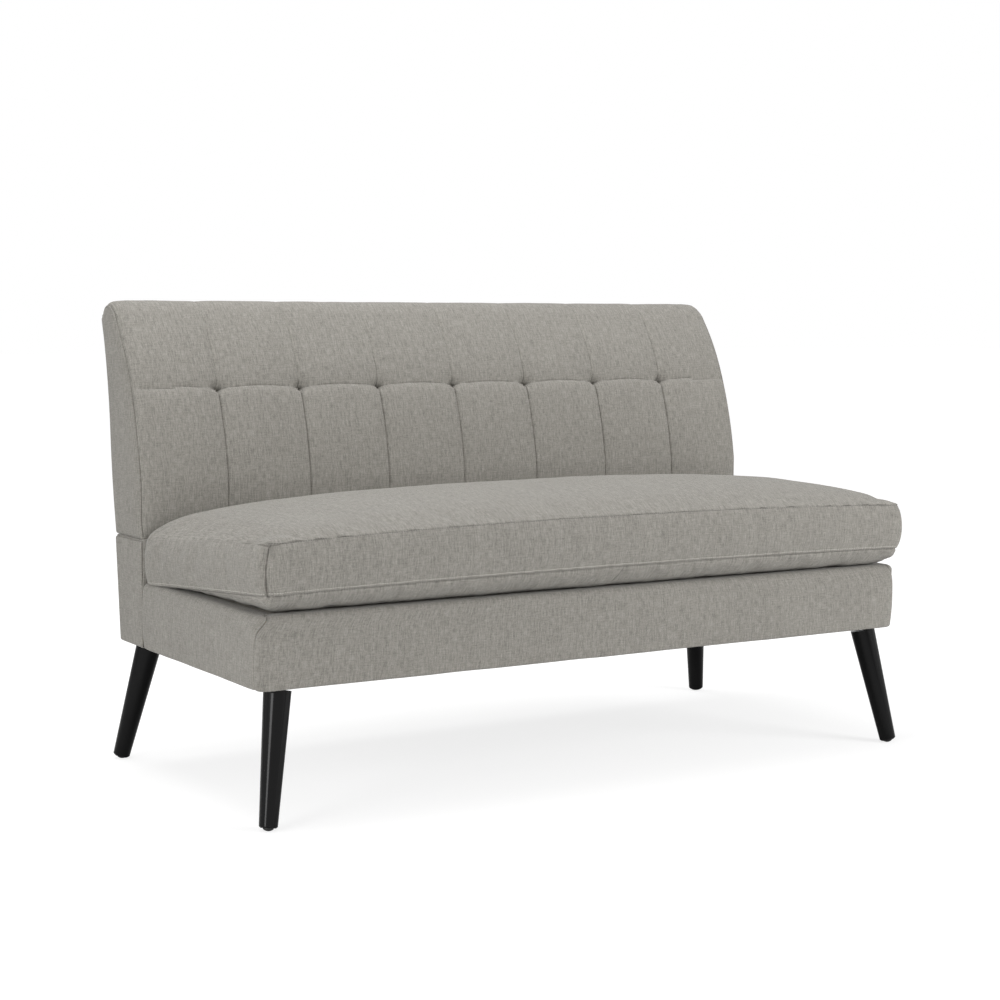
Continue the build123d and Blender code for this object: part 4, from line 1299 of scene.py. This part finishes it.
def base_section():
    """The base's section from its hem over its face and rim to the deck, as (inset, height)."""
    base = settings().base
    turn = 0.004
    rim = base.rim
    hem = np.linspace(base.hem, turn, 6)[:-1]
    low = np.linspace(0, math.pi / 2, 5)[:-1]
    face = np.linspace(BASE_BOTTOM + turn, BASE_TOP - rim, 14)[:-1]
    high = np.linspace(0, math.pi / 2, 7)[:-1]
    border = np.linspace(rim, base.border, 7)
    inset = np.concatenate([
        hem, turn * (1 - np.sin(low)), 0 * face, rim * (1 - np.cos(high)), border,
    ])
    height = np.concatenate([
        0 * hem + BASE_BOTTOM, BASE_BOTTOM + turn * (1 - np.cos(low)), face,
        BASE_TOP - rim + rim * np.sin(high), 0 * border + BASE_TOP,
    ])
    return inset, height


def corner_seam(height):
    """Where the seam between front and side lies along the outline: it slants round the corner."""
    share = np.clip((height - BASE_BOTTOM) / (BASE_TOP - BASE_BOTTOM), 0, 1)
    return -0.016 + 0.010 * share + 0.018 * smooth_step((share - 0.72) / 0.28)


def base_grid(s):
    """Points of the base's skin for distances along its outline, with a column for each height."""
    inset, height = base_section()
    share = np.clip((height - BASE_BOTTOM) / (BASE_TOP - BASE_BOTTOM), 0, 1)
    proud = 0.0012 + 0.0036 * np.sin(math.pi * share) ** 0.7
    x, y = base_plan(s, np.broadcast_to(inset - proud, s.shape))
    rounded = np.clip(1 - (RISER_FRONT - y) / 0.016, 0, 1) * smooth_step((share - 0.7) / 0.3)
    height = height - 0.010 * (1 - np.sqrt(1 - 0.96 * rounded**2))
    return np.stack([x, y, np.broadcast_to(height, s.shape)], axis=-1)


def eased(low, high, step=0.012):
    """Steps from low to high, fine beside both seams."""
    return graded([low, high], step)


def make_front_cover():
    """The front cover, which wraps round both front corners."""
    _, height = base_section()
    half_arc = settings().base.corner * math.pi / 4
    middle = half_arc + HALF_WIDTH - settings().base.corner
    length = middle - half_arc
    share = graded([0, 2 * length], 0.012)
    share = (share[share < length + 0.0001] / length)[:, None]
    seam = corner_seam(height)[None, :]
    left = base_grid(seam + (middle - seam) * share)
    right = left[::-1][1:].copy()
    right[..., 0] = -right[..., 0]
    grid = np.concatenate([left, right])
    make_cover(
        "base_front_cover", grid, (0, RISER_FRONT, (BASE_BOTTOM + BASE_TOP) / 2), BASE_SEAMS,
        20.0, 31, "base", ("front_cover", "front_padding"),
    )


def make_side_covers():
    """The two side covers, from the seams at the front corners to the riser."""
    _, height = base_section()
    half_arc = settings().base.corner * math.pi / 4
    rear = -(half_arc + RISER_FRONT - BASE_FRONT - settings().base.corner)
    length = half_arc - rear
    share = (graded([0, length], 0.011) / length)[:, None]
    seam = corner_seam(height)[None, :]
    left = base_grid(seam + (rear - seam) * share)
    for name, nodes, sign in (
        ("base_left_cover", ("left_side_cover", "side_paddings"), 1),
        ("base_right_cover", ("right_side_cover",), -1),
    ):
        grid = left.copy()
        grid[..., 0] *= sign
        make_cover(
            name, grid, (0, BASE_FRONT + 0.25, (BASE_BOTTOM + BASE_TOP) / 2), BASE_SEAMS,
            24.0 + sign, 33 + sign, "base", nodes, 0.0007,
        )


# Where the riser's rear lies, how far it leans out at the top, and how far its ends stand proud
RISER_REAR = BASE_FRONT + 0.608
RISER_LEAN = 0.021
RISER_PUFF = 0.0035


def riser_skin(grid):
    """A box's surface with rounded edges and a rear that leans outwards."""
    x, y, z = grid[..., 0], grid[..., 1], grid[..., 2]
    half = HALF_WIDTH + RISER_PUFF
    rim = settings().base.rim
    exposed = smooth_step((z - BASE_TOP + 0.012) / 0.02)
    behind = smooth_step((y - RISER_FRONT) / 0.02)
    radius_x = 0.002 + (rim - 0.002) * np.maximum(exposed, behind)
    cores, reaches, radii = [], [], []
    for value, low, high, low_radius, high_radius in (
        (x * half / HALF_WIDTH, -half, half, radius_x, radius_x),
        (y, RISER_FRONT - 0.0006, RISER_REAR, 0.0025 + 0.0035 * exposed, rim),
        (z, BASE_BOTTOM, RISER_TOP + 0.0015, 0.004, rim),
    ):
        core = np.clip(value, low + low_radius, high - high_radius)
        radius = np.where(value < (low + high) / 2, low_radius, high_radius)
        cores.append(core)
        radii.append(radius)
        reaches.append((value - core) / radius)
    length = np.maximum(np.linalg.norm(reaches, axis=0), 1e-9)
    x, y, z = (core + part / length * r for core, part, r in zip(cores, reaches, radii))
    share = np.clip((z - BASE_BOTTOM) / (RISER_TOP - BASE_BOTTOM), 0, 1)
    lean = 1 + RISER_LEAN * share / (RISER_REAR - RISER_FRONT)
    return points_of(x, RISER_FRONT + (y - RISER_FRONT) * lean, z)


def make_riser_covers():
    """The riser's side, top and rear covers."""
    hem = settings().base.hem
    middle = (0, (RISER_FRONT + RISER_REAR) / 2, (BASE_BOTTOM + RISER_TOP) / 2)
    y = eased(RISER_FRONT, RISER_REAR, SIDE_STEP)
    z = eased(BASE_BOTTOM, RISER_TOP, SIDE_STEP)
    under = np.linspace(hem, 0, 5)[:-1]
    heights = np.concatenate([np.full(len(under), BASE_BOTTOM), z])
    for name, side in (("riser_left_cover", -1), ("riser_right_cover", 1)):
        x = side * np.concatenate([HALF_WIDTH - under, np.full(len(z), HALF_WIDTH)])
        make_cover(
            name, riser_skin(points_of(x, y[:, None], heights)), middle, BASE_SEAMS,
            28.0 + side, 41 + side, "base", ("riser_side_covers",), 0.0006, 0.0004,
        )
    rise = np.concatenate([np.linspace(BASE_TOP - 0.020, RISER_TOP - 0.012, 11), z[-6:]])
    path_y = np.concatenate([np.full(len(rise), RISER_FRONT), y[1:]])
    path_z = np.concatenate([rise, np.full(len(y) - 1, RISER_TOP)])
    strip_cover("riser_top", path_y, path_z, middle, "riser_top_cover", 51)
    path_y = np.concatenate([RISER_REAR - under, np.full(len(z), RISER_REAR)])
    strip_cover("base_rear_cover", path_y, heights, middle, "rear_cover", 55)


def strip_cover(name, path_y, path_z, middle, node, seed):
    """A cover that runs from end to end of the riser along a path."""
    skin = riser_skin(points_of(eased(-HALF_WIDTH, HALF_WIDTH)[:, None], path_y, path_z))
    make_cover(name, skin, middle, BASE_SEAMS, 30.0, seed, "base", (node,), 0.0006)


def make_deck():
    """The seat deck under the cushion: cloth over foam, sewn to the border of the base."""
    border = settings().base.border
    high_x = HALF_WIDTH - border
    low_y, high_y = BASE_FRONT + border, RISER_FRONT
    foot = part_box("spring_insulator")[0].z
    x, y = np.meshgrid(eased(-high_x, high_x, 0.015), eased(low_y, high_y, 0.015), indexing="ij")
    inside = np.minimum(high_x - np.abs(x), np.minimum(y - low_y, high_y - y))
    uneven = 0.0003 * ripple(points_of(x, y, 0.0).reshape(-1, 3), 0.09, 61).reshape(x.shape)
    top = points_of(x, y, DECK_TOP - 0.0005 - np.abs(uneven) - 0.0022 * bell(inside, 0.003))
    bottom = points_of(x, y, foot + 0.0001)
    piece = mesh_from_patches("seat_deck", slab(top, bottom, points_of(x + 40, y)))
    finish_cloth(piece, 0)
    deck = plain_weave_material("deck_weave", (0.36, 0.34, 0.31), (0.18, 0.17, 0.15), 0.0014, "UV")
    dress(piece, deck, "base", ("deck_cloth", "deck_foam", "spring_insulator"))


# Middles of the four leg plates, which the dust cover is cut round, and half the cut's side
PLATES = ((0.6357, -0.2919), (0.6366, 0.2512))
PLATE_CUT = 0.024


def by_plate(x, y, reach):
    """Whether a place lies over a leg plate or within reach of it."""
    return any(abs(abs(x) - px) < reach and abs(y - py) < reach for px, py in PLATES)


def make_dust_cover():
    """Black cloth stapled under the frame, cut round the leg plates."""
    inset = 0.009
    low_y, high_y = BASE_FRONT + inset, RISER_REAR - inset
    half = HALF_WIDTH - inset
    stops_x, stops_y = {-half, half}, {low_y, high_y}
    for x, y in PLATES:
        stops_x |= {sign * x + shift for sign in (-1, 1) for shift in (-PLATE_CUT, PLATE_CUT)}
        stops_y |= {y - PLATE_CUT, y + PLATE_CUT}
    x, y = np.meshgrid(
        fill_stops(sorted(stops_x), 0.018), fill_stops(sorted(stops_y), 0.018), indexing="ij"
    )
    sag = 0.0003 * ripple(points_of(x, y, 0.0).reshape(-1, 3), 0.07, 71).reshape(x.shape)
    edge = np.minimum(half - np.abs(x), np.minimum(y - low_y, high_y - y))
    sag = (np.abs(sag) + 0.0012) * np.clip(edge / 0.2, 0, 1) ** 0.5
    grid = points_of(x, y, BASE_BOTTOM - 0.0004 - sag)
    piece = mesh_from_patches("dust_cover_cloth", [(grid, points_of(x, y) + 50)])
    cut_out(piece, lambda middle: by_plate(middle.x, middle.y, PLATE_CUT))
    face_out(piece, (0, 0, 1))
    finish_cloth(piece, 0, 0.0005)
    dress(piece, lining_material(), "base", ("dust_cover",))
    make_staples(half - 0.006, low_y + 0.006, high_y - 0.006, BASE_BOTTOM - 0.0011)


def fill_stops(stops, step):
    """The stops with even steps between them, none longer than step."""
    values = []
    for start, end in zip(stops[:-1], stops[1:]):
        values += list(np.linspace(start, end, max(1, math.ceil((end - start) / step)) + 1)[:-1])
    return np.array(values + [stops[-1]])


# Rings of a staple's wire along its crown, each a place and a rise, and the wire's corners
STAPLE = ((-0.0055, 0.0006), (-0.0050, 0.0), (0.0050, 0.0), (0.0055, 0.0006))
STAPLE_WIRE = ((-0.0005, 0), (0.0005, 0), (0.0005, 0.0005), (-0.0005, 0.0005))
STAPLE_PITCH = 0.055


def make_staples(half, low_y, high_y, z):
    """Staples round the dust cover: flat crowns of wire, rounded where they turn up."""
    places = []
    for x in np.arange(-half + 0.03, half, STAPLE_PITCH):
        places += [(x, low_y, False), (x, high_y, False)]
    for y in np.arange(low_y + 0.04, high_y - 0.02, STAPLE_PITCH):
        places += [(-half, y, True), (half, y, True)]
    points, faces = [], []
    for x, y, turned in places:
        if by_plate(x, y, PLATE_CUT + 0.006):
            continue
        faces += tube_faces(len(points), len(STAPLE), len(STAPLE_WIRE))
        for along, rise in STAPLE:
            for side, up in STAPLE_WIRE:
                dx, dy = (side, along) if turned else (along, side)
                points.append((x + dx, y + dy, z + rise + up))
    piece = add_mesh("dust_cover_staples", points, faces)
    close_seams(piece)
    dress(piece, zinc_material(), "base")


# --- Operators ---


class SOFA_OT_base_covers(bpy.types.Operator):
    """Make the front, side, riser and rear covers of the base"""

    bl_idname = "sofa.base_covers"
    bl_label = "Base covers"

    def execute(self, context):
        make_front_cover()
        make_side_covers()
        make_riser_covers()
        return {"FINISHED"}


class SOFA_OT_seat_deck(bpy.types.Operator):
    """Make the seat deck and the dust cover with its staples"""

    bl_idname = "sofa.seat_deck"
    bl_label = "Seat deck and dust cover"

    def execute(self, context):
        make_deck()
        make_dust_cover()
        return {"FINISHED"}


class SOFA_OT_seat_cushion(bpy.types.Operator):
    """Make the loose seat cushion with its topstitching"""

    bl_idname = "sofa.seat_cushion"
    bl_label = "Seat cushion"

    def execute(self, context):
        piece = make_cushion()
        make_cushion_stitching(piece)
        make_zipper(piece)
        return {"FINISHED"}


class SOFA_OT_backrest_cover(bpy.types.Operator):
    """Make the tufted front cover of the backrest"""

    bl_idname = "sofa.backrest_cover"
    bl_label = "Tufted backrest cover"

    def execute(self, context):
        make_quilt()
        return {"FINISHED"}


class SOFA_OT_backrest_sides(bpy.types.Operator):
    """Make the side, rear and bottom covers of the backrest"""

    bl_idname = "sofa.backrest_sides"
    bl_label = "Backrest sides, rear and bottom"

    def execute(self, context):
        make_back_sides()
        make_back_welts()
        make_back_rear()
        make_back_bottom()
        return {"FINISHED"}


class SOFA_OT_hard_finishes(bpy.types.Operator):
    """Give the legs, frame, springs and fittings their finishes"""

    bl_idname = "sofa.hard_finishes"
    bl_label = "Wood and metal finishes"

    def execute(self, context):
        finish_nodes()
        return {"FINISHED"}


class SOFA_OT_stage(bpy.types.Operator):
    """Make the floor, the lights and the camera"""

    bl_idname = "sofa.stage"
    bl_label = "Floor, lights and camera"

    def execute(self, context):
        make_stage()
        return {"FINISHED"}


def finish_nodes():
    """Materials for the pieces that keep their own shape."""
    upright = timber_material(
        "upright_timber", (0.60, 0.46, 0.29), (0.40, 0.27, 0.15), 55.0, UPRIGHT
    )
    deck = plain_weave_material("deck_cloth", (0.36, 0.34, 0.31), (0.18, 0.17, 0.15), 0.0012)
    finishes = {
        "frame_wood": timber_material(
            "frame_timber", (0.62, 0.47, 0.29), (0.42, 0.28, 0.15), 55.0, ALONG
        ),
        "leg_wood": lacquer_material(),
        "zinc_steel": zinc_material(),
        "spring_steel": mottle_material(
            "spring_wire", (0.10, 0.10, 0.11), (0.22, 0.22, 0.23), 60.0, 900.0, (0.35, 0.5),
            0.00005, 1.0,
        ),
        "foam": mottle_material(
            "foam", (0.80, 0.74, 0.52), (0.88, 0.83, 0.63), 20.0, 700.0, (0.85, 0.95), 0.0006
        ),
        "felt": mottle_material(
            "felt", (0.33, 0.31, 0.29), (0.52, 0.50, 0.47), 160.0, 1500.0, (0.9, 1.0), 0.0004
        ),
        "glide_plastic": mottle_material(
            "glide_nylon", (0.010, 0.010, 0.010), (0.020, 0.020, 0.020), 90.0, 1200.0,
            (0.4, 0.55), 0.00005,
        ),
        "toggle_plastic": mottle_material(
            "toggle_plastic", (0.60, 0.57, 0.50), (0.68, 0.65, 0.58), 90.0, 1200.0, (0.4, 0.5),
            0.00005,
        ),
        "upholstery_fabric": cover_material(),
        "deck_fabric": deck,
        "zipper_tape": deck,
        "lining_cloth": plain_weave_material(
            "lining_cloth", (0.035, 0.035, 0.035), (0.012, 0.012, 0.012), 0.0009
        ),
        "webbing": plain_weave_material("webbing", (0.24, 0.21, 0.18), (0.10, 0.09, 0.08), 0.0022),
        "twine": plain_weave_material("twine", (0.5, 0.46, 0.4), (0.3, 0.27, 0.23), 0.0008),
    }
    slots = {row["node"]: row["material_slot"] for row in frame["record"]["subparts"]}
    uprights = ("back_stiles", "back_stretchers", "riser_posts")
    for name, piece in frame["nodes"].items():
        piece.data.materials.clear()
        piece.data.materials.append(upright if name in uprights else finishes[slots[name]])


# The floor's own glow, weaker near the sofa as a painted shadow: from where to where it rises, and
# its strengths there
PAINTED_SHADOW_REACH = (0.55, 1.25)
GLOW_WITH_PAINTED_SHADOW = (0.775, 0.93)


def make_floor():
    """A pale floor that shows the camera a soft shadow, partly cast and partly painted by a glow
    that is weaker near the sofa, and lights the sofa as white paper does.
    """
    deselect()
    bpy.ops.mesh.primitive_plane_add(size=60, location=(0, 0, 0))
    floor = bpy.context.active_object
    floor.name = "floor"
    material, tree, shader = new_material("floor_paper")
    shader.inputs["Base Color"].default_value = rgba(settings().stage.floor)
    shader.inputs["Roughness"].default_value = 0.9
    shader.inputs["Specular IOR Level"].default_value = 0.0
    wire = Wiring(tree)
    x, y, _ = wire.split(tree.nodes.new("ShaderNodeTexCoord").outputs["Object"])
    aside = wire.math("MULTIPLY", x, 0.55)
    ahead = wire.math("ADD", y, 0.25)
    ahead = wire.math("MULTIPLY", ahead, ahead)
    away = wire.math("SQRT", wire.math("MULTIPLY_ADD", aside, aside, ahead))
    seen = wire.add("BsdfDiffuse", {"Color": (0.32, 0.32, 0.32, 1)}).outputs[0]
    # painted shadow: the glow rises from weak near the sofa to strong far off
    strength = wire.spread(away, *PAINTED_SHADOW_REACH, *GLOW_WITH_PAINTED_SHADOW)
    glow_with_painted_shadow = wire.add("Emission", {"Color": (1, 1, 1, 1), "Strength": strength}).outputs[0]
    both = wire.add("AddShader", {0: seen, 1: glow_with_painted_shadow}).outputs[0]
    by_camera = tree.nodes.new("ShaderNodeLightPath").outputs["Is Camera Ray"]
    choice = wire.add("MixShader", {0: by_camera, 1: shader.outputs[0], 2: both})
    output = next(n for n in tree.nodes if n.type == "OUTPUT_MATERIAL")
    wire.link(choice.outputs[0], output.inputs["Surface"])
    floor.data.materials.append(material)


# The lamps: name, place, size and power in watts; all look at a point over the floor
LAMPS = (
    ("key", (2.5, -3.2, 1.6), (2.0, 2.0), 112),
    ("side", (-3.6, -0.4, 1.7), (2.0, 2.0), 21),
    ("strip", (-2.9, -1.3, 0.9), (0.9, 1.6), 26),
    ("top", (-0.4, 0.4, 3.1), (2.4, 2.4), 60),
)
LAMPS_LOOK_AT = (0, 0, 0.4)
# The sky's light on the sofa; where it is seen, mirrored or shines through, it is white
SKY = 0.32


def make_lights():
    """White surroundings and four soft lamps, the narrow one for the gloss of the legs."""
    world = bpy.data.worlds.new("studio")
    bpy.context.scene.world = world
    world.use_nodes = True
    sky = world.node_tree.nodes["Background"]
    sky.inputs["Color"].default_value = (1, 1, 1, 1)
    path = world.node_tree.nodes.new("ShaderNodeLightPath").outputs
    wire = Wiring(world.node_tree)
    seen = wire.math("MAXIMUM", path["Is Camera Ray"], path["Is Glossy Ray"])
    seen = wire.math("MAXIMUM", seen, path["Is Transmission Ray"])
    wire.link(wire.math("MULTIPLY_ADD", seen, 1 - SKY, SKY), sky.inputs["Strength"])
    for name, place, size, power in LAMPS:
        light = bpy.data.lights.new(name, "AREA")
        light.shape = "ELLIPSE"
        light.size, light.size_y = size
        light.energy = power
        lamp = bpy.data.objects.new(name, light)
        bpy.context.scene.collection.objects.link(lamp)
        lamp.location = place
        x, y, z = np.subtract(LAMPS_LOOK_AT, place)
        pitch = math.atan2(z, math.hypot(x, y))
        lamp.rotation_euler = (math.pi / 2 + pitch, 0, -math.atan2(x, y))


def make_camera():
    """The camera at the photograph's angle."""
    stage = settings().stage
    data = bpy.data.cameras.new("camera")
    data.lens = stage.lens
    data.sensor_width = 36
    camera = bpy.data.objects.new("camera", data)
    bpy.context.scene.collection.objects.link(camera)
    camera.location = stage.camera_place
    camera.rotation_euler = (math.pi / 2 - stage.camera_pitch, stage.camera_roll, -stage.camera_yaw)
    bpy.context.scene.camera = camera


def make_stage():
    """A plain pale floor, soft studio light and the camera."""
    make_floor()
    make_lights()
    make_camera()
    bpy.context.scene.view_settings.view_transform = "Standard"


class SofaSettings(bpy.types.PropertyGroup):
    fabric: PointerProperty(type=FabricSettings)
    cushion: PointerProperty(type=CushionSettings)
    backrest: PointerProperty(type=BackrestSettings)
    base: PointerProperty(type=BaseSettings)
    legs: PointerProperty(type=LegSettings)
    stage: PointerProperty(type=StageSettings)


OPERATORS = (
    SOFA_OT_hard_finishes,
    SOFA_OT_base_covers,
    SOFA_OT_seat_deck,
    SOFA_OT_seat_cushion,
    SOFA_OT_backrest_cover,
    SOFA_OT_backrest_sides,
    SOFA_OT_stage,
)


class SOFA_PT_panel(bpy.types.Panel):
    bl_label = "Sofa"
    bl_idname = "SOFA_PT_panel"
    bl_space_type = "VIEW_3D"
    bl_region_type = "UI"
    bl_category = "Sofa"

    def draw(self, context):
        sofa = context.scene.sofa
        for group in (sofa.fabric, sofa.cushion, sofa.backrest, sofa.base, sofa.legs, sofa.stage):
            box = self.layout.box()
            for name in group.bl_rna.properties.keys():
                if name not in ("rna_type", "name"):
                    box.prop(group, name)
        for operator in OPERATORS:
            self.layout.operator(operator.bl_idname)


CLASSES = (
    FabricSettings, CushionSettings, BackrestSettings, BaseSettings, LegSettings, StageSettings,
    SofaSettings, *OPERATORS, SOFA_PT_panel,
)


def register():
    for made in CLASSES:
        bpy.utils.register_class(made)
    bpy.types.Scene.sofa = PointerProperty(type=SofaSettings)


def unregister():
    del bpy.types.Scene.sofa
    for made in reversed(CLASSES):
        bpy.utils.unregister_class(made)


def main():
    register()
    for operator in OPERATORS:
        group, name = operator.bl_idname.split(".")
        getattr(getattr(bpy.ops, group), name)()


if __name__ == "__main__":
    main()
